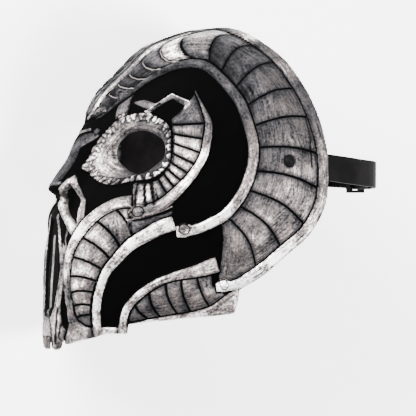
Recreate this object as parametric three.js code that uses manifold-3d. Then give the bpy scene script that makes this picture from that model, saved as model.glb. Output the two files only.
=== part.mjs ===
// Moulded leather skull mask with a curled ram's horn on each temple and a strap round the head.
// Millimetres. The mask is drawn in the wearer's frame: +X to the wearer's left, the face looks
// along -Y, +Z up, with the origin between the ears at eye level. The last groups lay it on its
// right side, with the face to -X, the crown to +Y and the left horn on top.

import * as THREE from 'three';
import { mergeVertices } from 'three/addons/utils/BufferGeometryUtils.js';
import Module from 'manifold-3d';

const wasm = await Module();
wasm.setup();

// Head form that the leather is moulded over.
const browDepth = 104;
const muzzleDepth = 124;
const muzzleLean = 6;
const napeDepth = 102;
const headHalfWidth = 79;
const jawNarrowing = 22;
const crownHeight = 87.5;
const chinLevel = 122.3;
const riseArc = 88;
const poleLean = 40;
const noseReach = 14.8;
const upperLipReach = 1.5;
const crestReach = 2.2;
const foreheadFlat = 4;
const noseHalfAngle = 11;
const eyeHollow = 8;
const cheekHollow = 2.5;

// Leather, relief and fastenings.
const leatherThickness = 3.6;
const bandRise = 2.2;
const plateRise = 1.5;
const hornSwell = 4;
const cheekSwell = 3;
const jawSwell = 2.5;
const mouthDepth = 1.6;
const grooveWidth = 1.6;
const bandFoot = -1;
const hornBandWidth = 9;
const hornInnerBandWidth = 7.6;
const crescentBandWidth = 9;
const cheekBandWidth = 9;
const cheekInnerBandWidth = 10.5;
const jawBandWidth = 11.5;
const strapWidth = 18;
const strapThickness = 2.8;
const pieceGap = 0.4;
const fasteningGap = 0.7;
const rivetHeadRadius = 3.6;
const rivetHeadHeight = 1.8;
const burrRadius = 3.6;
const burrThickness = 1;
const rivetShankRadius = 1.8;
const strapBackLevel = -14;
const spareHoleRadius = 2.2;
const holeSpacing = 5.5;
const keeperWidth = 8;
const keeperThickness = 1.8;
const keeperDegree = 1.8;
const keeperAzimuth = 190;

// The mask lies on its right side, turned a little onto the brow, on a flat spot rubbed into it.
const lyingTurn = 16;
const crownDip = 3;
const flatSpotDepth = 2.5;

// Facet sizes, and the width that one degree round the head has on the flat pattern.
const pathStep = 15;
const holeStep = 8;
const formTolerance = 1.15;
const strapTolerance = 0.15;
const fasteningSides = 14;
const millimetresPerDegree = 1.6;

const DEGREE = Math.PI / 180;

function ease(x) {
  const c = THREE.MathUtils.clamp(x, 0, 1);
  return c * c * (3 - 2 * c);
}

// Head form. A place on it has an azimuth in degrees, 0 at the nose and 90 at the left ear, and a
// height on the pattern: the level below the eyes, and above them the way up over the forehead.

function frontDepth(level) {
  return browDepth + (muzzleDepth - browDepth) * ease(-level / 45) + muzzleLean * ease(-level / 130);
}

function halfWidth(level) {
  return headHalfWidth - jawNarrowing * Math.pow(-level / 115, 2.2);
}

function headBase(azimuth, height) {
  const ahead = Math.cos(azimuth * DEGREE);
  const left = Math.sin(azimuth * DEGREE);
  if (height <= 0) {
    const depth = ahead > 0 ? frontDepth(height) : napeDepth;
    const power = ahead > 0 ? 1.9 + 0.6 * ease(-height / 80) : 2.3;
    const f = Math.abs(ahead) / depth;
    const l = Math.abs(left) / halfWidth(height);
    const radius = Math.pow(Math.pow(f, power) + Math.pow(l, power), -1 / power);
    return new THREE.Vector3(radius * left, -radius * ahead, height);
  }
  const rise = height / riseArc;
  const lean = poleLean * DEGREE * rise / (Math.PI / 2);
  const direction = new THREE.Vector3(
    Math.cos(rise) * left,
    Math.sin(rise) * Math.sin(lean) - Math.cos(rise) * ahead,
    Math.sin(rise) * Math.cos(lean)
  );
  const power = direction.y < 0 ? 1.9 : 2.3;
  const f = Math.abs(direction.y) / (direction.y < 0 ? browDepth : napeDepth);
  const l = Math.abs(direction.x) / headHalfWidth;
  const u = direction.z / crownHeight;
  const side = l * l / (l * l + f * f + 0.09 * u * u);
  const doming = 1.9 + 0.8 * side;
  const level = Math.pow(Math.pow(f, power) + Math.pow(l, power), 1 / power);
  return direction.multiplyScalar(Math.pow(Math.pow(level, doming) + Math.pow(u, doming), -1 / doming));
}

function headSlopes(azimuth, height) {
  const round = headBase(azimuth + 0.4, height).sub(headBase(azimuth - 0.4, height)).divideScalar(0.8);
  const rise = headBase(azimuth, height + 0.5).sub(headBase(azimuth, height - 0.5));
  return [round, rise];
}

function headNormal(azimuth, height) {
  const [round, rise] = headSlopes(azimuth, height);
  return round.cross(rise).normalize();
}

function outward(azimuth, height) {
  const normal = headNormal(azimuth, height);
  return height < 0 ? normal.setZ(0).normalize() : normal;
}

// Broad forms that stand out from the head form: the nose, the brow crest and the eye hollows.

function hill(distance) {
  return distance < 1 ? Math.pow(Math.cos(distance * Math.PI / 2), 2) : 0;
}

function noseHeight(height) {
  const upper = noseReach * ease((26 - height) / 42);
  const lower = ease((height + 31) / 9);
  return upper * lower + upperLipReach * ease((height + 48) / 20) * (1 - lower);
}

function broadForm(azimuth, height) {
  const side = Math.abs(azimuth);
  const nose = noseHeight(height) * hill(side / noseHalfAngle);
  const crest = crestReach * hill(side / noseHalfAngle) * ease(height / 25) * ease((92 - height) / 25);
  const eye = eyeHollow * hill(Math.hypot((side - 26) / 25, (height - 1) / 30));
  const cheek = cheekHollow * hill(Math.hypot((side - 62) / 34, (height + 62) / 40));
  const forehead = foreheadFlat * hill(Math.hypot(side / 55, (height - 50) / 24));
  return nose + crest - eye - cheek - forehead;
}

function onHead(azimuth, height, lift = 0) {
  const out = broadForm(azimuth, height) + lift;
  return headBase(azimuth, height).addScaledVector(outward(azimuth, height), out);
}

// Drawing sheets. A sheet is a plane that faces the head, with x to its right and y up, in
// millimetres. It carries each drawn point straight onto the head and gives its pattern place.

function drawingSheet(across, up, lift) {
  const toward = across.clone().cross(up);
  const place = (azimuth, height) => {
    const p = onHead(azimuth, height, lift);
    return [p.dot(across), p.dot(up)];
  };
  const seen = [];
  for (let azimuth = -4; azimuth <= 144; azimuth += 4) {
    for (let height = -135; height <= 115; height += 5) {
      if (headNormal(azimuth, height).dot(toward) > 0.02) {
        seen.push([azimuth, height, ...place(azimuth, height)]);
      }
    }
  }
  return ([x, y]) => {
    const miss = (n) => Math.hypot(n[2] - x, n[3] - y);
    let [azimuth, height] = seen.reduce((a, b) => (miss(b) < miss(a) ? b : a));
    for (let turn = 0; turn < 12; turn += 1) {
      const [x0, y0] = place(azimuth, height);
      const [xa, ya] = place(azimuth + 0.1, height);
      const [xh, yh] = place(azimuth, height + 0.1);
      const [ax, ay, hx, hy] = [(xa - x0) * 10, (ya - y0) * 10, (xh - x0) * 10, (yh - y0) * 10];
      const area = ax * hy - ay * hx;
      const stepA = ((x - x0) * hy - (y - y0) * hx) / area;
      const stepH = ((y - y0) * ax - (x - x0) * ay) / area;
      azimuth += THREE.MathUtils.clamp(stepA, -4, 4);
      height += THREE.MathUtils.clamp(stepH, -5, 5);
    }
    return [azimuth, height];
  };
}

const sheetYaw = 73 * DEGREE;
const drawnLift = 2;
const fromSide = drawingSheet(
  new THREE.Vector3(Math.cos(sheetYaw), Math.sin(sheetYaw), 0), new THREE.Vector3(0, 0, 1), drawnLift
);
const fromFront = drawingSheet(new THREE.Vector3(1, 0, 0), new THREE.Vector3(0, 0, 1), drawnLift);
const fromAbove = drawingSheet(new THREE.Vector3(1, 0, 0), new THREE.Vector3(0, 1, 0), drawnLift);

// Paths on the pattern.

function smoothPath(places, spacing) {
  const knots = places.map(([azimuth, height]) => (
    new THREE.Vector3(azimuth * millimetresPerDegree, height, 0)
  ));
  const curve = new THREE.CatmullRomCurve3(knots, false, 'centripetal');
  const count = Math.max(2, Math.round(curve.getLength() / spacing));
  return curve.getSpacedPoints(count).map((p) => [p.x / millimetresPerDegree, p.y]);
}

function moved([azimuth, height], step) {
  const [round, rise] = headSlopes(azimuth, height);
  const [rr, rh, hh] = [round.dot(round), round.dot(rise), rise.dot(rise)];
  const [sr, sh] = [step.dot(round), step.dot(rise)];
  const area = rr * hh - rh * rh;
  return [azimuth + (sr * hh - sh * rh) / area, height + (sh * rr - sr * rh) / area];
}

function besidePath(path, distanceAt) {
  return path.map((place, i) => {
    const before = path[Math.max(0, i - 1)];
    const after = path[Math.min(path.length - 1, i + 1)];
    const [round, rise] = headSlopes(...place);
    const [turn, climb] = [after[0] - before[0], after[1] - before[1]];
    const along = round.clone().multiplyScalar(turn).addScaledVector(rise, climb);
    const aside = headNormal(...place).cross(along).normalize();
    return moved(place, aside.multiplyScalar(distanceAt(i / (path.length - 1))));
  });
}

function ribbon(path, widthAt) {
  const leftSide = besidePath(path, (s) => widthAt(s) / 2);
  const rightSide = besidePath(path, (s) => -widthAt(s) / 2);
  return [...leftSide, ...rightSide.reverse()];
}

function disc(place, radius, count) {
  const [round] = headSlopes(...place);
  const right = round.normalize();
  const above = headNormal(...place).cross(right);
  return Array.from({ length: count }, (_, i) => {
    const turn = 2 * Math.PI * i / count;
    const step = right.clone().multiplyScalar(radius * Math.cos(turn));
    return moved(place, step.addScaledVector(above, radius * Math.sin(turn)));
  });
}

function distances(path) {
  const run = [0];
  for (let i = 1; i < path.length; i += 1) {
    run.push(run[i - 1] + onHead(...path[i]).distanceTo(onHead(...path[i - 1])));
  }
  return run;
}

function placeAlong(path, distance) {
  const run = distances(path);
  const next = Math.max(1, run.findIndex((r) => r >= distance));
  const share = (distance - run[next - 1]) / (run[next] - run[next - 1]);
  const [a, b] = [path[next - 1], path[next]];
  return [a[0] + (b[0] - a[0]) * share, a[1] + (b[1] - a[1]) * share];
}

function portion(path, from, to) {
  const run = distances(path);
  const inner = path.filter((_, i) => run[i] > from + 2 && run[i] < to - 2);
  return [placeAlong(path, from), ...inner, placeAlong(path, to)];
}

// Flat slabs of the pattern, from low to high above the ground leather.

function solidOf(geometry) {
  geometry.deleteAttribute('normal');
  geometry.deleteAttribute('uv');
  const merged = mergeVertices(geometry, 1e-4);
  return new wasm.Manifold(new wasm.Mesh({
    numProp: 3,
    vertProperties: new Float32Array(merged.attributes.position.array),
    triVerts: new Uint32Array(merged.index.array)
  }));
}

function slab(outline, low, high) {
  const shape = new THREE.Shape(outline.map(([azimuth, height]) => (
    new THREE.Vector2(azimuth * millimetresPerDegree, height)
  )));
  const geometry = new THREE.ExtrudeGeometry(shape, { depth: high - low, bevelEnabled: false });
  geometry.translate(0, 0, low);
  return solidOf(geometry);
}

function mirrored(solid) {
  const mesh = solid.getMesh();
  const stride = mesh.numProp;
  const vertProperties = new Float32Array(mesh.vertProperties.length / stride * 3);
  for (let i = 0; i < vertProperties.length / 3; i += 1) {
    vertProperties[3 * i] = -mesh.vertProperties[stride * i];
    vertProperties[3 * i + 1] = mesh.vertProperties[stride * i + 1];
    vertProperties[3 * i + 2] = mesh.vertProperties[stride * i + 2];
  }
  const triVerts = new Uint32Array(mesh.triVerts);
  for (let i = 0; i < triVerts.length; i += 3) {
    [triVerts[i], triVerts[i + 1]] = [triVerts[i + 1], triVerts[i]];
  }
  return new wasm.Manifold(new wasm.Mesh({ numProp: 3, vertProperties, triVerts }));
}

function joined(solids) {
  return solids.reduce((a, b) => a.add(b));
}

function bothSides(solid) {
  return solid.add(mirrored(solid));
}

// The ribs of a horn: grooves from one edge path to the other, bowed towards the horn's start.

function ribCuts(pathA, stationsA, pathB, stationsB, bow) {
  return joined(stationsA.map((station, i) => {
    const a = placeAlong(pathA, station);
    const b = placeAlong(pathB, stationsB[i]);
    const [runX, runY] = [(b[0] - a[0]) * millimetresPerDegree, b[1] - a[1]];
    const middle = [
      (a[0] + b[0]) / 2 + runY * bow / millimetresPerDegree,
      (a[1] + b[1]) / 2 - runX * bow
    ];
    return slab(ribbon([a, middle, b], () => grooveWidth), -1, 5);
  }));
}

// Drawn lines of the left half.

const hornOuterEdge = smoothPath([
  ...[[0.6, 24], [5.5, 29.5], [7, 35], [4.5, 42], [1.4, 49], [1, 60], [1, 68]].map(fromFront),
  ...[[1.4, -59], [7, -49], [9.5, -37], [11, -26], [14, -16.5], [25, -6]].map(fromAbove),
  ...[[22, 77.5], [39.5, 63], [55, 39.5], [65.5, 9.5], [67.5, -13.5], [64.5, -36.5], [53.5, -55.5],
    [40, -67.5], [22, -82.5], [5.5, -91], [-9.5, -93]].map(fromSide)
], pathStep);
const hornOuterWidth = (s) => hornBandWidth * (0.15 + 0.85 * ease(s / 0.07)) * (1 - 0.25 * ease(s * 10 - 9));
const hornOuterMid = besidePath(hornOuterEdge, (s) => -hornOuterWidth(s) / 2);
const hornOuterGroove = besidePath(hornOuterEdge, (s) => -hornOuterWidth(s));

const hornInnerMid = smoothPath([[-92.5, 25], [-85.5, 29], [-76, 36.5], [-68, 42], [-59, 49.5],
  [-39.5, 60], [-27, 62.5], [-15.5, 60], [1.5, 43], [9, 30.5], [16, 5], [11.5, -19.5], [-2.5, -40],
  [-13.5, -46.5], [-23, -50.5], [-36.5, -52.5]].map(fromSide), pathStep);
const hornInnerWidth = (s) => hornInnerBandWidth * (0.25 + 0.75 * ease(s / 0.3));
const hornInnerGroove = besidePath(hornInnerMid, (s) => hornInnerWidth(s) / 2);
const hornEnd = [[-8, -83.5], [-6, -70], [-5, -57], [-5.5, -48.5]].map(fromSide);
const hornBandsMeet = 3;
const hornInnerStop = 221;
const hornOuterStop = 8;
const hornLeavesBrow = 91;
const hornLeavesJaw = 366;
const hornRibsOut = [26, 39, 53, 69, 84, 103, 130, 152, 173, 196, 218, 243, 267, 293, 315, 336];
const hornRibsIn = [25, 37, 49, 63, 74, 85, 93, 105, 119, 132, 146, 161, 177, 189, 201, 211];

const eyeHole = smoothPath([[-81.5, 1.5], [-77.5, 10], [-68, 16.5], [-56, 16], [-45.5, 9], [-44.5, 0],
  [-50.5, -7], [-61, -13], [-70.5, -11], [-79.5, -3.5], [-81.5, 1.5]].map(fromSide), holeStep).slice(1);
const eyeRing = [[-103.5, -9], [-95, 4], [-86.5, 15], [-75, 25.5], [-58, 29], [-47, 25], [-40.5, 18.5],
  [-39.5, 5.5], [-41, -6.5], [-51.5, -16], [-66.5, -18.5], [-82, -21], [-94, -16]].map(fromSide);

const crescentMid = smoothPath([[-24, 44], [-18.5, 32], [-14.5, 20.5], [-15.5, 10], [-17.5, 0],
  [-22, -8.5], [-27, -15.5], [-33.5, -22.5], [-39.5, -28.5], [-47.5, -34.5], [-56, -38],
  [-66, -40]].map(fromSide), pathStep);
const crescentWidth = (s) => crescentBandWidth * (1 / 6 + ease(s / 0.35) / 2 + ease((s - 0.5) * 2) / 3);
const crescentInner = smoothPath([[-40.5, 24], [-39.5, 17], [-39, 5.5], [-40, -3.5], [-43, -9.5],
  [-49, -16.5], [-57, -19], [-66, -19]].map(fromSide), pathStep);
const crescentTip = [[-26, 39], [-28.5, 36], [-34.5, 29]].map(fromSide);
const crescentRibsOut = [25, 36, 46, 55, 63, 70, 77, 84, 92, 100, 106];
const crescentRibsIn = [4, 10, 16, 23, 29, 34, 38, 43, 48, 54, 60];

const cheekOuterMid = smoothPath([[-66.5, -31.5], [-75.5, -32.5], [-85, -36.5], [-94.5, -43.5],
  [-103.5, -54.5], [-109, -66], [-111, -79], [-111, -92], [-109, -102.5],
  [-107.5, -113.5]].map(fromSide), pathStep);
const cheekInnerMid = smoothPath([[-37.5, -46], [-47.5, -49.5], [-57, -54.5], [-67.5, -61], [-76, -70],
  [-83, -78], [-87, -87], [-89.5, -96], [-90.5, -105.5], [-90, -116.5],
  [-89.5, -121]].map(fromSide), pathStep);
const cheekInnerWidth = (s) => cheekInnerBandWidth * (1 - 0.38 * ease(s * 1.6));
const cheekBandsLeave = 31;
const cheekInnerStop = 92;
const cheekFoot = [[-103, -113], [-98.5, -115.5], [-93, -116.5]].map(fromSide);
const cheekRibsOut = [15, 31, 47, 63, 77, 89, 98, 107];
const cheekRibsIn = [31, 42, 51, 59, 67, 74, 83, 89];

const jawMid = smoothPath([[-8, -74], [-21, -78], [-39.5, -82.5], [-51.5, -87.5], [-63, -96],
  [-69.5, -103.5], [-72, -111.5], [-72.5, -119]].map(fromSide), pathStep);
const jawWidth = (s) => jawBandWidth * (1 - 0.48 * ease(s * 2.2));
const jawPlatesStart = 8;
const jawPlatesStop = 86;
const jawLower = smoothPath([[-69, -113.5], [-47.5, -109.5], [-34.5, -107.5], [-21.5, -105],
  [-12, -101.5], [-2.5, -94.5]].map(fromSide), pathStep);
const jawEnd = [[-11.5, -88], [-12, -80]].map(fromSide);
const jawRibsUp = [15, 25, 36, 48, 63];
const jawRibsLow = [56, 43, 34, 22, 14];

const nasalHole = smoothPath([[-110.5, -19.5], [-114, -23], [-116.5, -27.5], [-115, -33.5],
  [-110.5, -43.5], [-105.5, -48.5], [-104, -38], [-102, -31], [-105, -26.5],
  [-110.5, -19.5]].map(fromSide), holeStep).slice(1);
const nasalRim = [[-114, -17], [-105.5, -12.5], [-103.5, -21.5], [-98, -30.5], [-99.5, -36.5],
  [-100.5, -45.5], [-108.5, -56], [-114.5, -44], [-118.5, -33], [-118.5, -24]].map(fromSide);

const mouthMiddle = [
  [-1, -42],
  ...[[-120, -44], [-119, -51], [-119.5, -64.5], [-119, -81.5], [-120.5, -93], [-122.5, -102]].map(fromSide),
  [-1, -109]
];
const mouthSide = [[-113, -56.5], [-115.5, -62], [-115.5, -78], [-115.5, -92], [-115.5, -105.5],
  [-113.5, -115], [-110.5, -115.5], [-111.5, -107], [-112.5, -92], [-113, -78], [-112, -64.5]].map(fromSide);

const crownFront = fromAbove([0, -12]);
const backEdge = portion(hornOuterEdge, hornLeavesBrow, hornLeavesJaw);
const lowerEdge = [
  ...[[7, -91.5], [6.5, -97], [5, -102.5], [3.5, -107.5], [-10, -109], [-34, -111], [-54.5, -113],
    [-68.5, -114.5], [-69.5, -121], [-76, -121], [-86.5, -121.5], [-92, -123.5], [-103.5, -126],
    [-113.6, -128.8], [-114.3, -124.8], [-117.5, -127], [-118.4, -130.8], [-120.8, -132.4],
    [-122.9, -131.2], [-123.3, -123.4]].map(fromSide),
  [0, -chinLevel]
];
const centreStrip = 1.5 / millimetresPerDegree;
const maskOutline = [
  [-centreStrip, crownFront[1]], crownFront, ...backEdge, ...lowerEdge, [-centreStrip, -chinLevel]
];

// The horns stand out between their bands. A bulge is nil on both edge paths and at the cut end.

function segmentDistance(p, a, b) {
  const run = b.clone().sub(a);
  const share = THREE.MathUtils.clamp(p.clone().sub(a).dot(run) / run.lengthSq(), 0, 1);
  return p.distanceTo(a.clone().addScaledVector(run, share));
}

function pathDistance(p, path) {
  return Math.min(...path.slice(1).map((b, i) => segmentDistance(p, path[i], b)));
}

function holds(outline, azimuth, height) {
  let inside = false;
  outline.forEach(([ax, ay], i) => {
    const [bx, by] = outline[(i + 1) % outline.length];
    if ((ay > height) !== (by > height) && azimuth < ax + (bx - ax) * (height - ay) / (by - ay)) {
      inside = !inside;
    }
  });
  return inside;
}

function bulge(outline, edgeA, edgeB, end, rise) {
  const [a, b, cut] = [edgeA, edgeB, end].map((path) => path.map((place) => headBase(...place)));
  return (azimuth, height) => {
    if (!holds(outline, azimuth, height)) return 0;
    const p = headBase(azimuth, height);
    const [toA, toB] = [pathDistance(p, a), pathDistance(p, b)];
    const across = Math.pow(Math.sin(Math.PI * toA / (toA + toB)), 2);
    return rise * across * ease((toA + toB) / 24) * ease(pathDistance(p, cut) / 12);
  };
}

const hornOutline = [
  ...hornOuterGroove.slice(0, -1), ...hornEnd, ...portion(hornInnerGroove, 1, hornInnerStop).reverse()
];
const cheekOutline = [
  ...cheekOuterMid, ...cheekFoot, ...portion(cheekInnerMid, cheekBandsLeave, cheekInnerStop).reverse()
];
const jawOutline = [...portion(jawMid, jawPlatesStart, jawPlatesStop), ...jawLower, ...jawEnd];
const bulges = [
  bulge(hornOutline, hornOuterGroove, hornInnerGroove, hornEnd, hornSwell),
  bulge(cheekOutline, cheekOuterMid, cheekInnerMid, cheekFoot, cheekSwell),
  bulge(jawOutline, jawMid, jawLower, jawEnd, jawSwell)
];

function onMask(azimuth, height, lift = 0) {
  const swell = bulges.reduce((sum, at) => sum + at(Math.abs(azimuth), height), 0);
  return onHead(azimuth, height, lift + swell);
}

// The mask on the flat pattern: ground leather, then bands and plates, then what is cut.

const ground = slab(maskOutline, -leatherThickness, 0);
const relief = [];

const hornField = slab([
  ...portion(hornOuterMid, hornBandsMeet, distances(hornOuterMid).at(-1) - hornOuterStop), ...hornEnd,
  ...portion(hornInnerMid, 1, hornInnerStop).reverse()
], bandFoot, plateRise);
relief.push(hornField.subtract(ribCuts(hornOuterGroove, hornRibsOut, hornInnerGroove, hornRibsIn, 0.12)));
relief.push(slab([...hornOuterEdge, ...hornOuterGroove.slice().reverse()], bandFoot, bandRise));
relief.push(slab(ribbon(hornInnerMid, hornInnerWidth), bandFoot, bandRise));

relief.push(slab(eyeRing, bandFoot, plateRise));
const crescentField = slab([
  ...crescentMid, ...crescentInner.slice().reverse(), ...crescentTip.slice().reverse()
], bandFoot, plateRise);
relief.push(crescentField.subtract(ribCuts(crescentMid, crescentRibsOut, crescentInner, crescentRibsIn, 0)));
relief.push(slab(ribbon(crescentMid, crescentWidth), bandFoot, bandRise));

const cheekField = slab(cheekOutline, bandFoot, plateRise);
relief.push(cheekField.subtract(ribCuts(cheekOuterMid, cheekRibsOut, cheekInnerMid, cheekRibsIn, -0.12)));
relief.push(slab(ribbon(cheekOuterMid, () => cheekBandWidth), bandFoot, bandRise));
relief.push(slab(ribbon(cheekInnerMid, cheekInnerWidth), bandFoot, bandRise));

const jawField = slab(jawOutline, bandFoot, plateRise);
relief.push(jawField.subtract(ribCuts(jawMid, jawRibsUp, jawLower, jawRibsLow, 0.12)));
relief.push(slab(ribbon(jawMid, jawWidth), bandFoot, bandRise));

relief.push(slab(nasalRim, bandFoot, plateRise));

const rivetPlace = fromSide([38.5, -4.5]);
const rivetHole = disc(rivetPlace, rivetShankRadius + pieceGap, 8);
const openings = joined([eyeHole, nasalHole, rivetHole].map((outline) => slab(outline, -8, 8)));
const mouthGaps = joined([mouthMiddle, mouthSide].map((outline) => slab(outline, -mouthDepth, 8)));
const maskPattern = bothSides(joined([ground, ...relief])).subtract(bothSides(openings.add(mouthGaps)));

// The strap runs inside the shell from each rivet and round the back of the head, where the left
// end lies over the right one, held by a stud and passed through a leather keeper.

const strapOuterFace = -leatherThickness - pieceGap;
const strapInnerFace = strapOuterFace - strapThickness;
const strapPath = smoothPath([[93, -3.5], rivetPlace, [122, -8], [150, -12], [180, strapBackLevel],
  [197, strapBackLevel]], 12);
const strapTip = [[201, strapBackLevel]];

function strapPattern(places, low, high, holes) {
  const edges = ribbon(places, () => strapWidth);
  const outline = [...edges.slice(0, places.length), ...strapTip, ...edges.slice(places.length)];
  const cuts = holes.map(([place, radius]) => slab(disc(place, radius, 8), low - 1, high + 1));
  return slab(outline, low, high).subtract(joined(cuts));
}

const studPlace = [180, strapBackLevel];
const boltHole = rivetShankRadius + pieceGap;
const strapStrip = strapPattern(strapPath, strapInnerFace, strapOuterFace, [
  [rivetPlace, boltHole], [studPlace, boltHole]
]);
const holedStrip = strapPattern(strapPath, strapInnerFace, strapOuterFace, [
  [rivetPlace, boltHole], [studPlace, boltHole],
  [[studPlace[0] - holeSpacing, strapBackLevel], spareHoleRadius],
  [[studPlace[0] + holeSpacing, strapBackLevel], spareHoleRadius]
]);
const overlapLift = strapThickness + pieceGap;

function crossingLift(azimuth) {
  return overlapLift * ease((azimuth - 146) / 14);
}

function fromPattern([x, height, lift]) {
  return onMask(x / millimetresPerDegree, height, lift);
}

// In each flat face the diagonals are turned until no triangle is needlessly thin.

function openness(points, apex, a, b) {
  const [p, q, r] = [points[apex], points[a], points[b]];
  const [ux, uy, vx, vy] = [q[0] - p[0], q[1] - p[1], r[0] - p[0], r[1] - p[1]];
  return (ux * vx + uy * vy) / Math.max(1e-9, Math.abs(ux * vy - uy * vx));
}

function turned(points, [a, b, c]) {
  const [p, q, r] = [points[a], points[b], points[c]];
  return (q[0] - p[0]) * (r[1] - p[1]) - (q[1] - p[1]) * (r[0] - p[0]);
}

function evenFaces(points, faces) {
  const out = faces.map((face) => [...face]);
  for (let pass = 0; pass < 12; pass += 1) {
    const sides = new Map();
    out.forEach((face, i) => {
      face.forEach((a, k) => sides.set(`${a}_${face[(k + 1) % 3]}`, i));
    });
    const touched = new Set();
    let flips = 0;
    for (const [side, i] of sides) {
      const [a, b] = side.split('_').map(Number);
      const j = sides.get(`${b}_${a}`);
      if (j === undefined || touched.has(i) || touched.has(j)) continue;
      const c = out[i].find((v) => v !== a && v !== b);
      const d = out[j].find((v) => v !== a && v !== b);
      const level = points[a][2];
      if ([b, c, d].some((v) => Math.abs(points[v][2] - level) > 1e-4)) continue;
      if (openness(points, c, a, b) + openness(points, d, a, b) > -1e-3) continue;
      const [first, second] = [[c, a, d], [d, b, c]];
      const up = Math.sign(turned(points, out[i]));
      if (turned(points, first) * up < 1e-3 || turned(points, second) * up < 1e-3) continue;
      [out[i], out[j]] = [first, second];
      touched.add(i).add(j);
      flips += 1;
    }
    if (flips === 0) break;
  }
  return out;
}

// From the pattern to the head: facet edges that leave the form are halved until they follow it.

function refined(solid, tolerance, carry) {
  const mesh = solid.getMesh();
  const points = [];
  for (let i = 0; i < mesh.vertProperties.length; i += mesh.numProp) {
    points.push([...mesh.vertProperties.slice(i, i + 3)]);
  }
  const placed = points.map(carry);
  let faces = [];
  for (let i = 0; i < mesh.triVerts.length; i += 3) {
    faces.push([...mesh.triVerts.slice(i, i + 3)]);
  }
  for (let round = 0; round < 6; round += 1) {
    faces = evenFaces(points, faces);
    const halves = new Map();
    const half = (a, b) => {
      const key = a < b ? `${a}_${b}` : `${b}_${a}`;
      if (!halves.has(key)) {
        const middle = points[a].map((value, i) => (value + points[b][i]) / 2);
        const onForm = carry(middle);
        const gap = onForm.distanceTo(placed[a].clone().add(placed[b]).multiplyScalar(0.5));
        const split = gap > tolerance(middle[0] / millimetresPerDegree, middle[1]);
        halves.set(key, split ? points.push(middle) - 1 : -1);
        if (split) placed.push(onForm);
      }
      return halves.get(key);
    };
    const before = faces.length;
    faces = faces.flatMap(([a, b, c]) => {
      const [p, q, r, pq, qr, rp] = turnToSplit(a, b, c, half(a, b), half(b, c), half(c, a));
      const splits = [pq, qr, rp].filter((m) => m >= 0).length;
      if (splits === 0) return [[p, q, r]];
      if (splits === 1) return [[p, pq, r], [pq, q, r]];
      if (splits === 2) return [[pq, q, qr], [p, pq, qr], [p, qr, r]];
      return [[p, pq, rp], [pq, q, qr], [rp, qr, r], [pq, qr, rp]];
    });
    if (faces.length === before) break;
  }
  return { placed, faces: evenFaces(points, faces) };
}

function turnToSplit(a, b, c, ab, bc, ca) {
  const splits = [ab, bc, ca].filter((m) => m >= 0).length;
  if ((splits === 1 && bc >= 0) || (splits === 2 && ab < 0)) return [b, c, a, bc, ca, ab];
  if ((splits === 1 && ca >= 0) || (splits === 2 && bc < 0)) return [c, a, b, ca, ab, bc];
  return [a, b, c, ab, bc, ca];
}

function formed(solid, tolerance, carry = fromPattern) {
  const { placed, faces } = refined(solid, tolerance, carry);
  const geometry = new THREE.BufferGeometry();
  geometry.setAttribute('position', new THREE.Float32BufferAttribute(placed.flatMap((p) => p.toArray()), 3));
  geometry.setIndex(faces.flat());
  geometry.computeVertexNormals();
  return geometry;
}

function maskTolerance(azimuth, height) {
  const underStrap = Math.abs(azimuth) > 86 && Math.abs(height + 5) < 18;
  return underStrap ? strapTolerance : formTolerance;
}

// Turned fastenings, standing on the form with their axis along its outward direction.

function turnedPiece(profile) {
  const points = profile.map(([radius, along]) => new THREE.Vector2(radius, along));
  const geometry = new THREE.LatheGeometry(points, fasteningSides);
  return solidOf(geometry);
}

function placedOn(mesh, azimuth, height) {
  const foot = onMask(azimuth, height);
  const top = onMask(azimuth, height, 1);
  mesh.position.copy(foot);
  mesh.quaternion.setFromUnitVectors(new THREE.Vector3(0, 1, 0), top.sub(foot).normalize());
  return mesh;
}

function plainGeometry(solid) {
  const mesh = solid.getMesh();
  const geometry = new THREE.BufferGeometry();
  geometry.setAttribute('position', new THREE.Float32BufferAttribute(mesh.vertProperties, 3));
  geometry.setIndex([...mesh.triVerts]);
  geometry.computeVertexNormals();
  return geometry;
}

function fastening(headFoot, burrTop) {
  return plainGeometry(turnedPiece([
    [0, burrTop - burrThickness], [burrRadius, burrTop - burrThickness], [burrRadius, burrTop],
    [rivetShankRadius, burrTop], [rivetShankRadius, headFoot], [rivetHeadRadius, headFoot],
    [rivetHeadRadius * 0.8, headFoot + rivetHeadHeight * 0.7], [0, headFoot + rivetHeadHeight]
  ]));
}

const silveredLeather = new THREE.MeshStandardMaterial({ color: 0x8f8a88, roughness: 0.5, metalness: 0.4 });
const strapLeather = new THREE.MeshStandardMaterial({ color: 0x1d1719, roughness: 0.6, metalness: 0 });
const blackSteel = new THREE.MeshStandardMaterial({ color: 0x17171a, roughness: 0.4, metalness: 0.8 });

function named(name, geometry, material) {
  const mesh = new THREE.Mesh(geometry, material);
  mesh.name = name;
  return mesh;
}

// The flat spot that the mask lies on, cut square to the way that points up when it lies.

function withFlatSpot(solid) {
  const up = new THREE.Vector3(1, 0, 0)
    .applyAxisAngle(new THREE.Vector3(0, 0, 1), lyingTurn * DEGREE)
    .multiplyScalar(Math.cos(crownDip * DEGREE))
    .setZ(-Math.sin(crownDip * DEGREE));
  const { vertProperties } = solid.getMesh();
  const corner = new THREE.Vector3();
  let lowest = Infinity;
  for (let i = 0; i < vertProperties.length; i += 3) {
    lowest = Math.min(lowest, corner.fromArray(vertProperties, i).dot(up));
  }
  const wasteSize = 400;
  const waste = new THREE.BoxGeometry(wasteSize, wasteSize, wasteSize);
  waste.applyQuaternion(new THREE.Quaternion().setFromUnitVectors(new THREE.Vector3(1, 0, 0), up));
  const wasteMiddle = up.clone().multiplyScalar(lowest + flatSpotDepth - wasteSize / 2);
  waste.translate(wasteMiddle.x, wasteMiddle.y, wasteMiddle.z);
  return solid.subtract(solidOf(waste));
}

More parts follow.
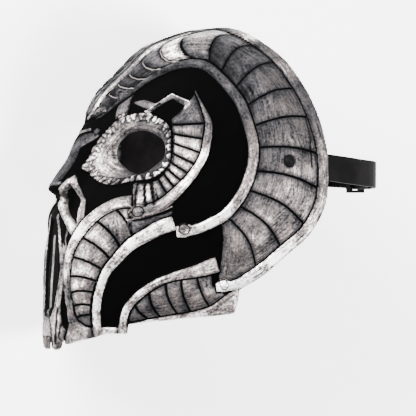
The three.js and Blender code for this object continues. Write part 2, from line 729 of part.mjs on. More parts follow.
const worn = new THREE.Group();
const maskSolid = solidOf(formed(maskPattern, maskTolerance));
worn.add(named('leather_mask', plainGeometry(withFlatSpot(maskSolid)), silveredLeather));

const alongStrap = () => strapTolerance;
const leftCarry = ([x, height, lift]) => (
  fromPattern([x, height, lift + crossingLift(x / millimetresPerDegree)])
);
worn.add(named('left_strap', formed(holedStrip, alongStrap, leftCarry), strapLeather));
worn.add(named('right_strap', formed(mirrored(strapStrip), alongStrap), strapLeather));

const rivetGeometry = fastening(plateRise + fasteningGap, strapInnerFace - fasteningGap);
worn.add(placedOn(named('left_rivet', rivetGeometry, blackSteel), ...rivetPlace));
worn.add(placedOn(named('right_rivet', rivetGeometry, blackSteel), -rivetPlace[0], rivetPlace[1]));
const studGeometry = fastening(strapOuterFace + overlapLift + fasteningGap, strapInnerFace - fasteningGap);
worn.add(placedOn(named('strap_stud', studGeometry, blackSteel), ...studPlace));

const keeperReach = strapWidth / 2 + fasteningGap;
const keeperLow = strapInnerFace - fasteningGap;
const keeperHigh = strapOuterFace + overlapLift + fasteningGap;

function keeperBox(reach, low, high, half) {
  const degrees = half / keeperDegree;
  return slab([
    [keeperAzimuth - degrees, strapBackLevel - reach], [keeperAzimuth + degrees, strapBackLevel - reach],
    [keeperAzimuth + degrees, strapBackLevel + reach], [keeperAzimuth - degrees, strapBackLevel + reach]
  ], low, high);
}

const keeperPattern = keeperBox(
  keeperReach + keeperThickness, keeperLow - keeperThickness, keeperHigh + keeperThickness, keeperWidth / 2
).subtract(keeperBox(keeperReach, keeperLow, keeperHigh, keeperWidth));
worn.add(named('strap_keeper', formed(keeperPattern, alongStrap), strapLeather));

// The worn mask is laid on its right side, and the origin goes under the middle of it.

worn.matrixAutoUpdate = false;
worn.matrix.makeBasis(new THREE.Vector3(0, 0, 1), new THREE.Vector3(1, 0, 0), new THREE.Vector3(0, 1, 0));
const lying = new THREE.Group();
lying.rotation.set(-crownDip * DEGREE, -lyingTurn * DEGREE, 0);
lying.add(worn);

const model = new THREE.Group();
model.add(lying);
model.updateMatrixWorld(true);
const extent = new THREE.Box3().setFromObject(model, true);
const middle = extent.getCenter(new THREE.Vector3());
lying.position.set(-middle.x, -middle.y, -extent.min.z);

export default model;
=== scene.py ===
"""Leather skull mask with curled ram's horns, silver and black, lying on its right side.

The shell is drawn as the CAD model draws it: places on a pattern, with an azimuth round the head
and a height, are carried onto a head form and then laid down. Millimetres are used until a mesh
is made, and metres from there on.
"""
import math

import bpy
import numpy as np
from mathutils import Matrix, Vector, noise


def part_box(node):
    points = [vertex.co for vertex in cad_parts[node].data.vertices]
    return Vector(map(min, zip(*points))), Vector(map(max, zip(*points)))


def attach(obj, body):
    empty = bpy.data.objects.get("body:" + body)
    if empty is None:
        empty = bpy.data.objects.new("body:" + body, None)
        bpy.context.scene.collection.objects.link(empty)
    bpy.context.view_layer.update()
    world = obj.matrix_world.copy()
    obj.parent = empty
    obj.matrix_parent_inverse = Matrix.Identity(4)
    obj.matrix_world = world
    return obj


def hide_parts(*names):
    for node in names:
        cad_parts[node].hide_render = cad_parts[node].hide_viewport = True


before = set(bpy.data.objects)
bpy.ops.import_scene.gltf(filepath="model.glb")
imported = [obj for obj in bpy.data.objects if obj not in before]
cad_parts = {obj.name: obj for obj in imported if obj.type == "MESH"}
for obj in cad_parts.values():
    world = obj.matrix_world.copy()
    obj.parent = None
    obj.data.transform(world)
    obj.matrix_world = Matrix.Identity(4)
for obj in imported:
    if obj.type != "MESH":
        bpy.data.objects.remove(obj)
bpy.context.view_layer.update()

MM = 0.001
DEGREE = math.pi / 180

# Head form that the leather is moulded over, in the wearer's frame: x left, y back, z up.
brow_depth = 104
muzzle_depth = 124
muzzle_lean = 6
nape_depth = 102
head_half_width = 79
jaw_narrowing = 22
crown_height = 87.5
chin_level = 122.3
rise_arc = 88
pole_lean = 40
nose_reach = 14.8
upper_lip_reach = 1.5
crest_reach = 2.2
forehead_flat = 4
nose_half_angle = 11
eye_hollow = 8
cheek_hollow = 2.5

# Leather and relief.
leather_thickness = 3.6
band_rise = 2.2
plate_rise = 1.5
horn_swell = 4
cheek_swell = 3
jaw_swell = 2.5
mouth_depth = 1.6
groove_half_width = 0.85
groove_depth = 1.1
moat_half_width = 0.9
moat_depth = 0.8
rim_rounding = 1.3
relief_slope = 1.1
plate_crown = 0.35
strip_rise = 0.5
stud_rise = 0.5
stitch_rise = 0.9
dark_line_depth = 0.6
lump_rise = 0.75
lump_size = 3.2
wrinkle_rise = 0.28
wrinkle_size = 9
horn_band_width = 9
horn_inner_band_width = 7.6
crescent_band_width = 9
cheek_band_width = 9
cheek_inner_band_width = 10.5
jaw_band_width = 11.5
mm_per_degree = 1.6

# Fastenings and strap.
piece_gap = 0.4
fastening_gap = 0.7
strap_thickness = 2.8
rivet_head_radius = 3.6
rivet_head_height = 1.8
burr_radius = 3.6
burr_thickness = 1
rivet_shank_radius = 1.8
stud_place = (180, -14)
stud_seat = -0.8
strap_edge_softness = 0.55

# How the mask lies, in degrees.
lying_turn = 16
crown_dip = 3

# Paint. A tone of 0 is bare black leather, and 1 is full silver.
ground_tone = 0.02
mouth_tone = 0.01
stitch_tone = 0.9
cut_edge_tone = 0.8

# Grids and steps of the visual mesh.
outer_cell = 0.88
coarse_cells = 4
path_step = 3
loop_step = 2
rib_steps = 7
stitch_gap = 3.2
stitch_radius = 0.75
cad_turned_sides = 14
turned_sides = 32
merge_distance = 0.02 * MM
end_plate_gap = 12


def ease(share):
    """A smooth rise from 0 to 1."""
    share = np.clip(share, 0, 1)
    return share * share * (3 - 2 * share)


def front_depth(level):
    """How deep the face is below the brow: it grows toward the muzzle."""
    return brow_depth + (muzzle_depth - brow_depth) * ease(-level / 45) + muzzle_lean * ease(-level / 130)


def head_base(azimuth, height):
    """The head form under a place on the pattern."""
    azimuth, height = np.broadcast_arrays(np.asarray(azimuth, float), np.asarray(height, float))
    ahead, left = np.cos(azimuth * DEGREE), np.sin(azimuth * DEGREE)
    low = np.minimum(height, 0)
    depth = np.where(ahead > 0, front_depth(low), nape_depth)
    power = np.where(ahead > 0, 1.9 + 0.6 * ease(-low / 80), 2.3)
    half_width = head_half_width - jaw_narrowing * (-low / 115) ** 2.2
    section = (np.abs(ahead) / depth) ** power + (np.abs(left) / half_width) ** power
    radius = section ** (-1 / power)
    below = np.stack([radius * left, -radius * ahead, low], -1)

    rise = np.maximum(height, 0) / rise_arc
    lean = pole_lean * DEGREE * rise / (math.pi / 2)
    x = np.cos(rise) * left
    y = np.sin(rise) * np.sin(lean) - np.cos(rise) * ahead
    z = np.sin(rise) * np.cos(lean)
    power = np.where(y < 0, 1.9, 2.3)
    deep = np.abs(y) / np.where(y < 0, brow_depth, nape_depth)
    wide = np.abs(x) / head_half_width
    high = z / crown_height
    doming = 1.9 + 0.8 * wide ** 2 / (wide ** 2 + deep ** 2 + 0.09 * high ** 2)
    level = (deep ** power + wide ** power) ** (1 / power)
    size = (level ** doming + np.abs(high) ** doming) ** (-1 / doming)
    above = np.stack([x, y, z], -1) * size[..., None]
    return np.where((height <= 0)[..., None], below, above)


def unit(vectors):
    return vectors / np.maximum(np.linalg.norm(vectors, axis=-1, keepdims=True), 1e-12)


def head_slopes(azimuth, height):
    """How the head form moves with a degree of azimuth and with a millimetre of height."""
    around = (head_base(azimuth + 0.4, height) - head_base(azimuth - 0.4, height)) / 0.8
    rise = head_base(azimuth, height + 0.5) - head_base(azimuth, height - 0.5)
    return around, rise


def head_normal(azimuth, height):
    around, rise = head_slopes(azimuth, height)
    return unit(np.cross(around, rise))


def outward(azimuth, height):
    """The way the leather stands out: level below the brow, and square to the head above it."""
    normal = head_normal(azimuth, height)
    level = normal * np.array([1, 1, 0])
    return np.where((np.asarray(height) < 0)[..., None], unit(level), normal)


def hill(distance):
    """1 in the middle, and nil from a distance of 1."""
    return np.where(distance < 1, np.cos(np.minimum(distance, 1) * math.pi / 2) ** 2, 0)


def broad_form(azimuth, height):
    """Nose, brow crest, flat forehead, eye hollow and cheek hollow."""
    side = np.abs(azimuth)
    lower = ease((height + 31) / 9)
    nose = nose_reach * ease((26 - height) / 42) * lower
    nose = nose + upper_lip_reach * ease((height + 48) / 20) * (1 - lower)
    ridge = hill(side / nose_half_angle)
    crest = crest_reach * ridge * ease(height / 25) * ease((92 - height) / 25)
    eye = eye_hollow * hill(np.hypot((side - 26) / 25, (height - 1) / 30))
    cheek = cheek_hollow * hill(np.hypot((side - 62) / 34, (height + 62) / 40))
    forehead = forehead_flat * hill(np.hypot(side / 55, (height - 50) / 24))
    return nose * ridge + crest - eye - cheek - forehead


def on_head(azimuth, height, lift=0):
    """A place on the moulded surface, and above it by the lift."""
    out = broad_form(azimuth, height) + lift
    return head_base(azimuth, height) + outward(azimuth, height) * np.asarray(out)[..., None]


def drawing_sheet(across, up, lift=2):
    """A plane that faces the head. Returned is what carries its points to pattern places: from the
    nearest place of a coarse grid, by twelve steps along the slopes of the surface."""
    sheet = np.array([across, up], float)
    grid = np.stack(np.meshgrid(np.arange(-4, 145, 4), np.arange(-135, 116, 5), indexing="ij"), -1)
    grid = grid.reshape(-1, 2).astype(float)
    grid = grid[head_normal(*grid.T) @ np.cross(*sheet) > 0.02]
    seen = on_head(*grid.T, lift) @ sheet.T
    reach = 0.1

    def carry(points):
        points = np.atleast_2d(np.array(points, float))
        nearest = np.argmin(np.linalg.norm(seen[None] - points[:, None], axis=-1), axis=1)
        places = grid[nearest]
        for _ in range(12):
            azimuth, height = places.T
            here = on_head(azimuth, height, lift)
            around = on_head(azimuth + reach, height, lift) - here
            rise = on_head(azimuth, height + reach, lift) - here
            slopes = np.stack([around @ sheet.T, rise @ sheet.T], -1) / reach
            step = np.linalg.solve(slopes, (points - here @ sheet.T)[..., None])[..., 0]
            places = places + np.clip(step, [-4, -5], [4, 5])
        return places

    return carry


sheet_yaw = 73 * DEGREE
from_side = drawing_sheet([math.cos(sheet_yaw), math.sin(sheet_yaw), 0], [0, 0, 1])
from_front = drawing_sheet([1, 0, 0], [0, 0, 1])
from_above = drawing_sheet([1, 0, 0], [0, 1, 0])


# Paths on the pattern.

def on_paper(places):
    """Pattern places laid flat, in millimetres."""
    return np.asarray(places, float) * np.array([mm_per_degree, 1])


def off_paper(points):
    """Flat millimetres back to pattern places."""
    return points / np.array([mm_per_degree, 1])


def run_along(points):
    """How far along a line each of its points is."""
    return np.concatenate([[0], np.cumsum(np.linalg.norm(np.diff(points, axis=0), axis=1))])


def between(now, start, stop, a, b):
    """From a at the start to b at the stop."""
    share = (now - start) / (stop - start)
    return (1 - share) * a + share * b


def smooth_path(places, spacing=path_step):
    """A centripetal curve through the places, in even steps."""
    points = on_paper(places)
    points = np.vstack([2 * points[0] - points[1], points, 2 * points[-1] - points[-2]])
    curve = []
    for i in range(1, len(points) - 2):
        p0, p1, p2, p3 = points[i - 1:i + 3]
        t1 = np.linalg.norm(p1 - p0) ** 0.5
        t2 = t1 + np.linalg.norm(p2 - p1) ** 0.5
        t3 = t2 + np.linalg.norm(p3 - p2) ** 0.5
        now = np.linspace(t1, t2, 24, endpoint=False)[:, None]
        middle = between(now, t1, t2, p1, p2)
        early = between(now, 0, t2, between(now, 0, t1, p0, p1), middle)
        late = between(now, t1, t3, middle, between(now, t2, t3, p2, p3))
        curve.append(between(now, t1, t2, early, late))
    curve = np.vstack([*curve, points[-2:-1]])
    run = run_along(curve)
    even = np.linspace(0, run[-1], max(3, round(run[-1] / spacing) + 1))
    return off_paper(np.stack([np.interp(even, run, side) for side in curve.T], -1))


def smooth_loop(places):
    """A closed outline through the places, its first place also its last."""
    return smooth_path(places, loop_step)[1:]


def moved(places, step):
    """Places shifted by a true step in millimetres along the surface."""
    slopes = np.stack(head_slopes(*places.T), 1)
    square = slopes @ slopes.transpose(0, 2, 1)
    return places + np.linalg.solve(square, slopes @ step[..., None])[..., 0]


def beside_path(path, distance_at):
    """A path beside another, at a distance given by the share of the way along it."""
    turn = np.vstack([path[1:], path[-1:]]) - np.vstack([path[:1], path[:-1]])
    around, rise = head_slopes(*path.T)
    along = around * turn[:, :1] + rise * turn[:, 1:]
    aside = unit(np.cross(head_normal(*path.T), along))
    distance = np.array([distance_at(share) for share in np.linspace(0, 1, len(path))])
    return moved(path, aside * distance[:, None])


def ribbon(path, width_at):
    """The outline of a band along a path."""
    left_side = beside_path(path, lambda s: width_at(s) / 2)
    right_side = beside_path(path, lambda s: -width_at(s) / 2)
    return np.vstack([left_side, right_side[::-1]])


def distances(path):
    """How far along a path each of its places is, on the head."""
    return run_along(on_head(*path.T))


def places_along(path, stations):
    run = distances(path)
    return np.stack([np.interp(stations, run, side) for side in path.T], -1)


def portion(path, start, stop):
    """The part of a path between two distances along it."""
    run = distances(path)
    inner = path[(run > start + 1) & (run < stop - 1)]
    return np.vstack([places_along(path, [start]), inner, places_along(path, [stop])])


def rib_lines(path_a, stations_a, path_b, stations_b, bow):
    """The ribs of a horn or plate field, each bowed in the middle."""
    share = np.linspace(-0.12, 1.12, rib_steps + 1)[:, None]
    lines = []
    bows = np.broadcast_to(bow, len(stations_a))
    for a, b, bow in zip(places_along(path_a, stations_a), places_along(path_b, stations_b), bows):
        run = on_paper(b - a)
        aside = off_paper(np.array([run[1], -run[0]])) * bow
        lines.append(a + (b - a) * share + aside * 4 * share * (1 - share))
    return lines


# Drawn lines of the left half.

horn_outer_edge = smooth_path(np.vstack([
    from_front([[0.6, 24], [5.5, 29.5], [7, 35], [4.5, 42], [1.4, 49], [1, 60], [1, 68]]),
    from_above([[1.4, -59], [7, -49], [9.5, -37], [11, -26], [14, -16.5], [25, -6]]),
    from_side([[22, 77.5], [39.5, 63], [55, 39.5], [65.5, 9.5], [67.5, -13.5], [64.5, -36.5],
               [53.5, -55.5], [40, -67.5], [22, -82.5], [5.5, -91], [-9.5, -93]]),
]))


def horn_outer_width(s):
    return horn_band_width * (0.15 + 0.85 * ease(s / 0.07)) * (1 - 0.25 * ease(s * 10 - 9))


horn_outer_mid = beside_path(horn_outer_edge, lambda s: -horn_outer_width(s) / 2)
horn_outer_groove = beside_path(horn_outer_edge, lambda s: -horn_outer_width(s))
horn_inner_mid = smooth_path(from_side([
    [-92.5, 25], [-85.5, 29], [-76, 36.5], [-68, 42], [-59, 49.5], [-39.5, 60], [-27, 62.5],
    [-15.5, 60], [1.5, 43], [9, 30.5], [16, 5], [11.5, -19.5], [-2.5, -40], [-13.5, -46.5],
    [-23, -50.5], [-36.5, -52.5],
]))


def horn_inner_width(s):
    return horn_inner_band_width * (0.25 + 0.75 * ease(s / 0.3))


horn_inner_groove = beside_path(horn_inner_mid, lambda s: horn_inner_width(s) / 2)
horn_end = from_side([[-8, -83.5], [-6, -70], [-5, -57], [-5.5, -48.5]])
horn_bands_meet = 3
horn_inner_stop = 221
horn_outer_stop = 8
horn_leaves_brow = 91
horn_leaves_jaw = 366
horn_ribs_out = [31.5, 42, 55, 70, 87, 107, 130, 150, 170, 192.5, 214, 239.5, 263, 289.5, 311.5, 333]
horn_ribs_in = [27.5, 37, 48, 61.5, 73, 84, 94, 105.5, 120.5, 135, 149.5, 164.5, 180.5, 194.5, 207, 218]
horn_rib_bows = [0.19, 0.19, 0.2, 0.2, 0.19, 0.15, 0.08, 0.1, 0.1, 0.09, 0.07, 0.05, 0.05, 0.06, 0.06, 0.07]
# Each horn plate's tone is its silver with painted light and shade; the bright 0.9 plate is a painted
# highlight.
horn_plate_tones = [
    0.15, 0.17, 0.17, 0.19, 0.24, 0.9, 0.5, 0.18, 0.2, 0.26, 0.3, 0.34, 0.34, 0.44, 0.42, 0.44, 0.42,
]

eye_hole = smooth_loop(from_side([
    [-81.5, 1.5], [-77.5, 10], [-68, 16.5], [-56, 16], [-45.5, 9], [-44.5, 0], [-50.5, -7],
    [-61, -13], [-70.5, -11], [-79.5, -3.5], [-81.5, 1.5],
]))
eye_ring = smooth_loop(from_side([
    [-103.5, -9], [-95, 4], [-86.5, 15], [-75, 25.5], [-58, 29], [-47, 25], [-40.5, 18.5],
    [-39.5, 5.5], [-41, -6.5], [-51.5, -16], [-66.5, -18.5], [-82, -21], [-94, -16], [-103.5, -9],
]))

crescent_mid = smooth_path(from_side([
    [-24, 44], [-18.5, 32], [-14.5, 20.5], [-15.5, 10], [-17.5, 0], [-22, -8.5], [-27, -15.5],
    [-33.5, -22.5], [-39.5, -28.5], [-47.5, -34.5], [-56, -38], [-66, -40],
]))


def crescent_width(s):
    return crescent_band_width * (1 / 6 + ease(s / 0.35) / 2 + ease((s - 0.5) * 2) / 3)


crescent_inner = smooth_path(from_side([
    [-40.5, 24], [-39.5, 17], [-39, 5.5], [-40, -3.5], [-43, -9.5], [-49, -16.5], [-57, -19],
    [-66, -19],
]))
crescent_tip = from_side([[-26, 39], [-28.5, 36], [-34.5, 29]])
crescent_ribs_out = [25, 36, 46, 55, 63, 70, 77, 84, 92, 100, 106]
crescent_ribs_in = [4, 10, 16, 23, 29, 34, 38, 43, 48, 54, 60]
crescent_plate_tones = [0.22, 0.44, 0.66, 0.66, 0.72, 0.62, 0.55, 0.48, 0.42, 0.36, 0.6, 0.6]

cheek_outer_mid = smooth_path(from_side([
    [-66.5, -31.5], [-75.5, -32.5], [-85, -36.5], [-94.5, -43.5], [-103.5, -54.5], [-109, -66],
    [-111, -79], [-111, -92], [-109, -102.5], [-107.5, -113.5],
]))
cheek_inner_mid = smooth_path(from_side([
    [-37.5, -46], [-47.5, -49.5], [-57, -54.5], [-67.5, -61], [-76, -70], [-83, -78], [-87, -87],
    [-89.5, -96], [-90.5, -105.5], [-90, -116.5], [-89.5, -121],
]))


def cheek_outer_width(s):
    return cheek_band_width * (1 - 0.22 * ease(s * 2.5 - 1))


def cheek_inner_width(s):
    return cheek_inner_band_width * (1 - 0.38 * ease(s * 1.6))


cheek_bands_leave = 31
cheek_inner_stop = 92
cheek_foot = from_side([[-103, -113], [-98.5, -115.5], [-93, -116.5]])
cheek_ribs_out = [15, 31, 47, 63, 77, 89, 98, 107]
cheek_ribs_in = [31, 42, 51, 59, 67, 74, 83, 89]
cheek_plate_tones = [0.44, 0.54, 0.6, 0.64, 0.66, 0.64, 0.62, 0.56, 0.44]

jaw_mid = smooth_path(from_side([
    [-8, -74], [-21, -78], [-39.5, -82.5], [-51.5, -87.5], [-63, -96], [-69.5, -103.5],
    [-72, -111.5], [-72.5, -119],
]))


def jaw_width(s):
    return jaw_band_width * (1 - 0.48 * ease(s * 2.2))


jaw_plates_start = 8
jaw_plates_stop = 86
jaw_lower = smooth_path(from_side([
    [-69, -113.5], [-47.5, -109.5], [-34.5, -107.5], [-21.5, -105], [-12, -101.5], [-2.5, -94.5],
]))
jaw_end = from_side([[-11.5, -88], [-12, -80]])
jaw_ribs_up = [15, 25, 36, 48, 63]
jaw_ribs_low = [56, 43, 34, 22, 14]
jaw_plate_tones = [0.36, 0.46, 0.4, 0.42, 0.32, 0.44]

nasal_hole = smooth_loop(from_side([
    [-110.5, -19.5], [-114, -23], [-116.5, -27.5], [-115, -33.5], [-110.5, -43.5], [-105.5, -48.5],
    [-104, -38], [-102, -31], [-105, -26.5], [-110.5, -19.5],
]))
nasal_rim = from_side([
    [-114, -17], [-105.2, -12], [-102.6, -20.5], [-97.5, -30.5], [-97.8, -37], [-98.8, -46],
    [-108.2, -56.5], [-114.5, -44], [-118.6, -33], [-118.6, -24],
])
mouth_middle = np.vstack([
    [[-1, -42]],
    from_side([[-120, -44], [-119, -51], [-119.5, -64.5], [-119, -81.5], [-120.5, -93], [-122.5, -102]]),
    [[-1, -109]],
])
mouth_side = from_side([
    [-113, -56.5], [-115.5, -62], [-115.5, -78], [-115.5, -92], [-115.5, -105.5], [-113.5, -115],
    [-110.5, -115.5], [-111.5, -107], [-112.5, -92], [-113, -78], [-112, -64.5],
])

crown_front = from_above([[0, -12]])
back_edge = portion(horn_outer_edge, horn_leaves_brow, horn_leaves_jaw)
lower_edge = np.vstack([
    from_side([
        [7, -91.5], [6.5, -97], [5, -102.5], [3.5, -107.5], [-10, -109], [-34, -111], [-54.5, -113],
        [-68.5, -114.5], [-69.5, -121], [-76, -121], [-86.5, -121.5], [-92, -123.5],
        [-103.5, -126], [-113.6, -128.8], [-114.3, -124.8], [-117.5, -127], [-118.4, -130.8],
        [-120.8, -132.4], [-122.9, -131.2], [-123.3, -123.4],
    ]),
    [[0, -chin_level]],
])
half_outline = np.vstack([crown_front, back_edge, lower_edge])
mask_outline = np.vstack([half_outline, (half_outline * np.array([-1, 1]))[::-1]])
rivet_place = from_side([[38.5, -4.5]])

horn_field = np.vstack([
    portion(horn_outer_mid, horn_bands_meet, distances(horn_outer_mid)[-1] - horn_outer_stop),
    horn_end, portion(horn_inner_mid, 1, horn_inner_stop)[::-1],
])
horn_outline = np.vstack([
    horn_outer_groove[:-1], horn_end, portion(horn_inner_groove, 1, horn_inner_stop)[::-1],
])
cheek_field = np.vstack([
    cheek_outer_mid, cheek_foot,
    portion(cheek_inner_mid, cheek_bands_leave, cheek_inner_stop)[::-1],
])
jaw_field = np.vstack([portion(jaw_mid, jaw_plates_start, jaw_plates_stop), jaw_lower, jaw_end])
crescent_field = np.vstack([crescent_mid, crescent_inner[::-1], crescent_tip[::-1]])


# Distances on the pattern, in millimetres.

def closed(line):
    """A line that returns to its start."""
    return np.vstack([line, line[:1]])


def flat_cross(a, b):
    """Above nil where b turns left of a."""
    return a[..., 0] * b[..., 1] - a[..., 1] * b[..., 0]


def near_segment(points, start, stop):
    """How far along a segment each point's nearest place is, from 0 to 1, and how far away."""
    run = stop - start
    share = np.clip(((points - start) @ run) / max(run @ run, 1e-12), 0, 1)
    return share, np.linalg.norm(points - start - share[:, None] * run, axis=1)


def near_line(points, line):
    """Each point's nearest segment of a line, how far along that it is, and how far away."""
    index, share = np.zeros(len(points), int), np.zeros(len(points))
    best = np.full(len(points), np.inf)
    for i, (start, stop) in enumerate(zip(line[:-1], line[1:])):
        part, distance = near_segment(points, start, stop)
        closer = distance < best
        index[closer] = i
        share[closer] = part[closer]
        best[closer] = distance[closer]
    return index, share, best


def line_distance(points, path):
    return near_line(points, on_paper(path))[2]


def inside_distance(points, outline):
    """Distance from a closed outline, positive inside it."""
    line = closed(on_paper(outline))
    inside = np.zeros(len(points), bool)
    for start, stop in zip(line[:-1], line[1:]):
        if start[1] != stop[1]:
            crosses = (start[1] > points[:, 1]) != (stop[1] > points[:, 1])
            share = (points[:, 1] - start[1]) / (stop[1] - start[1])
            inside ^= crosses & (points[:, 0] < start[0] + (stop[0] - start[0]) * share)
    distance = near_line(points, line)[2]
    return np.where(inside, distance, -distance)


def beside_line(points, path):
    """Distance from a path, and the signed offset to one side of it."""
    line = on_paper(path)
    index, _, distance = near_line(points, line)
    along = unit(line[index + 1] - line[index])
    return distance, flat_cross(along, points - line[index])


def share_along(points, path):
    """How far along a path, from 0 to 1, its nearest place is."""
    line = on_paper(path)
    run = run_along(line)
    index, share, _ = near_line(points, line)
    return (run[index] + share * (run[index + 1] - run[index])) / run[-1]


def bulge(azimuth, height, outline, edge_a, edge_b, end, rise):
    """How far a horn or plate field stands out: nil on both edges and at its cut end."""
    out = np.zeros(len(azimuth))
    held = inside_distance(on_paper(np.stack([azimuth, height], -1)), outline) > 0
    points = head_base(azimuth[held], height[held])
    to_a, to_b, to_end = (near_line(points, head_base(*path.T))[2] for path in (edge_a, edge_b, end))
    across = np.sin(math.pi * to_a / np.maximum(to_a + to_b, 1e-6)) ** 2
    out[held] = rise * across * ease((to_a + to_b) / 24) * ease(to_end / 12)
    return out


def swell(azimuth, height):
    """How far the horn, cheek and jaw stand out at a place."""
    side = np.abs(azimuth)
    return (
        bulge(side, height, horn_outline, horn_outer_groove, horn_inner_groove, horn_end, horn_swell)
        + bulge(side, height, cheek_field, cheek_outer_mid, cheek_inner_mid, cheek_foot, cheek_swell)
        + bulge(side, height, jaw_field, jaw_mid, jaw_lower, jaw_end, jaw_swell)
    )


# Lying down: the wearer's frame turned, and set on the CAD model by the left rivet.

lying = np.array(
    Matrix.Rotation(-crown_dip * DEGREE, 3, "X") @ Matrix.Rotation(-lying_turn * DEGREE, 3, "Y")
) @ np.array([[0, 1, 0], [0, 0, 1], [1, 0, 0]])


def form_frame(place, side=1):
    """Foot and outward direction of a fastening."""
    azimuth, height = place[:1] * side, place[1:]
    out = swell(azimuth, height)
    foot = on_head(azimuth, height, out)[0]
    top = on_head(azimuth, height, out + 1)[0]
    return foot, unit(top - foot)


def fastening_profile(head_foot, burr_top):
    """A domed head with a turned ring, its shank and its burr, as radius and height."""
    burr_foot = burr_top - burr_thickness
    dome = [
        (1, 0), (1, 0.45), (0.93, 0.85), (0.8, 1.15), (0.66, 1.28), (0.58, 1.12), (0.5, 1.3), (0.3, 1.62),
    ]
    return [
        (0, burr_foot), (burr_radius * 0.94, burr_foot), (burr_radius, burr_foot + burr_thickness * 0.2),
        (burr_radius, burr_top - 0.1), (burr_radius * 0.97, burr_top),
        (rivet_shank_radius, burr_top), (rivet_shank_radius, head_foot),
        *((rivet_head_radius * share, head_foot + rise) for share, rise in dome),
        (0, head_foot + rivet_head_height),
    ]


def turned_points(profile, foot, direction, sides):
    """A profile of radius and height turned about its axis."""
    right = unit(np.cross(direction, [0, 0, 1]))
    ahead = np.cross(direction, right)
    angle = np.arange(sides) * 2 * math.pi / sides
    radial = np.cos(angle)[:, None] * right + np.sin(angle)[:, None] * ahead
    return np.vstack([foot + direction * rise + radius * radial for radius, rise in profile])


strap_outer_face = -leather_thickness - piece_gap
strap_inner_face = strap_outer_face - strap_thickness
rivet_profile = fastening_profile(plate_rise + fastening_gap, strap_inner_face - fastening_gap)
rivet_foot, rivet_direction = form_frame(rivet_place[0])
rivet_points = turned_points(rivet_profile, rivet_foot, rivet_direction, cad_turned_sides) @ lying.T
cad_low, cad_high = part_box("left_rivet")
row_shift = (np.array(cad_low) + np.array(cad_high)) / 2 / MM
row_shift = row_shift - (rivet_points.min(0) + rivet_points.max(0)) / 2


def in_row(points):
    """Wearer's frame in millimetres to the row frame in metres, no lower than the surface."""
    points = (np.asarray(points) @ lying.T + row_shift) * MM
    points[..., 2] = np.maximum(points[..., 2], 0)
    return points


# Relief and paint of the shell.

horn_ribs = rib_lines(horn_outer_groove, horn_ribs_out, horn_inner_groove, horn_ribs_in, horn_rib_bows)
crescent_ribs = rib_lines(crescent_mid, crescent_ribs_out, crescent_inner, crescent_ribs_in, 0)
cheek_ribs = rib_lines(cheek_outer_mid, cheek_ribs_out, cheek_inner_mid, cheek_ribs_in, -0.15)
jaw_ribs = rib_lines(jaw_mid, jaw_ribs_up, jaw_lower, jaw_ribs_low, 0.12)
ribbed_fields = [
    (crescent_field, crescent_ribs, crescent_plate_tones),
    (horn_field, horn_ribs, horn_plate_tones),
    (cheek_field, cheek_ribs, cheek_plate_tones),
    (jaw_field, jaw_ribs, jaw_plate_tones),
]

# Raised and painted details. Strips have a half width and a tone, plates a rise and a tone, and
# dark lines a half width.
bridge_strip = from_side([[-97.6, 17.7], [-103.4, 10.2], [-108.8, 3.4], [-112.9, -2.6]])
bridge_line = from_side([[-91.8, 13.1], [-96.6, 9.9], [-100.8, 7.5]])
brow_line_low = from_side([[-91.8, 28.6], [-85.7, 30.6]])
tooth_strand = from_side([
    [-118.6, -42], [-117.4, -53], [-116.1, -67.1], [-115.6, -78.8], [-116.6, -94], [-118.4, -109.5],
    [-120, -128],
])
tooth_side = from_side([[-111.4, -50], [-113.4, -59], [-115.4, -68.5]])
tooth_fork = from_side([[-116, -76], [-117.8, -88], [-119.8, -98], [-121.4, -108]])
tooth_middle = np.array([[0.5, -56], [0.5, -80], [0.5, -108]])
scroll_line = from_side([[-67.5, -43.8], [-54.4, -40.9], [-46, -38.2], [-40, -35.4]])
bolt_top = from_side([[-57.1, 29.9], [-49, 35.4], [-40.1, 41.5], [-27.9, 36]])
bolt_start = from_side([[-57.4, 29.4], [-54.6, 27.6]])
bolt_stop = from_side([[-28.2, 35.6], [-30.4, 32.4]])
# The pale brow line along the outer horn band is a painted highlight on the band's ridge.
brow_line = portion(beside_path(horn_outer_edge, lambda s: -0.72 * horn_outer_width(s)), 4, 96)
strips = [
    (brow_line, 0.55, 0.66),
    (bridge_strip, 0.8, 0.36), (bridge_line, 0.6, 0.32), (brow_line_low, 0.6, 0.5),
    (tooth_strand, 1.3, 0.55), (tooth_fork, 0.6, 0.42), (tooth_side, 0.6, 0.42),
    (scroll_line, 0.5, 0.5), (bolt_top, 0.4, 0.6), (bolt_start, 0.6, 0.7),
    (bolt_stop, 0.5, 0.55), (tooth_middle, 1, 0.4),
]

bridge_ridge = from_side([
    [-91.5, 17], [-100.2, 15.4], [-108, 3], [-115.5, -9], [-121.5, -19.5], [-117.5, -20.5],
    [-112.4, -13.8], [-103, 4.3], [-92, 12.9],
])
bridge_diamond = from_side([[-95.2, 16.3], [-91.1, 19.7], [-87.7, 17], [-91.8, 12.9]])
nose_plate = from_side([[-122.8, -21.8], [-120.5, -17.7], [-114.6, -17], [-115.6, -21.1]])
leaf_plate = from_side([
    [-100, 23.8], [-99.3, 29.2], [-93.8, 38.8], [-87.7, 44.9], [-83.6, 48.3], [-85.7, 41.5],
    [-91.1, 34.7], [-95.2, 27.9],
])
brow_spur = from_side([[-75.5, 42.5], [-77, 34], [-79.5, 24], [-71.5, 24], [-68.5, 32], [-64.5, 44.5]])
leaf_wedge = from_side([[-69, 36.2], [-58, 38.4], [-47, 34.4], [-57, 30.2]])
bolt_plate = from_side([
    [-57.1, 29.9], [-49, 35.4], [-40.1, 41.5], [-27.9, 36], [-30.6, 32], [-39.4, 37.4], [-47.6, 32.6],
    [-55.1, 27.2],
])
crescent_end = from_side([[-66, -18.4], [-52, -18.9], [-49, -34.5], [-66, -37.5]])
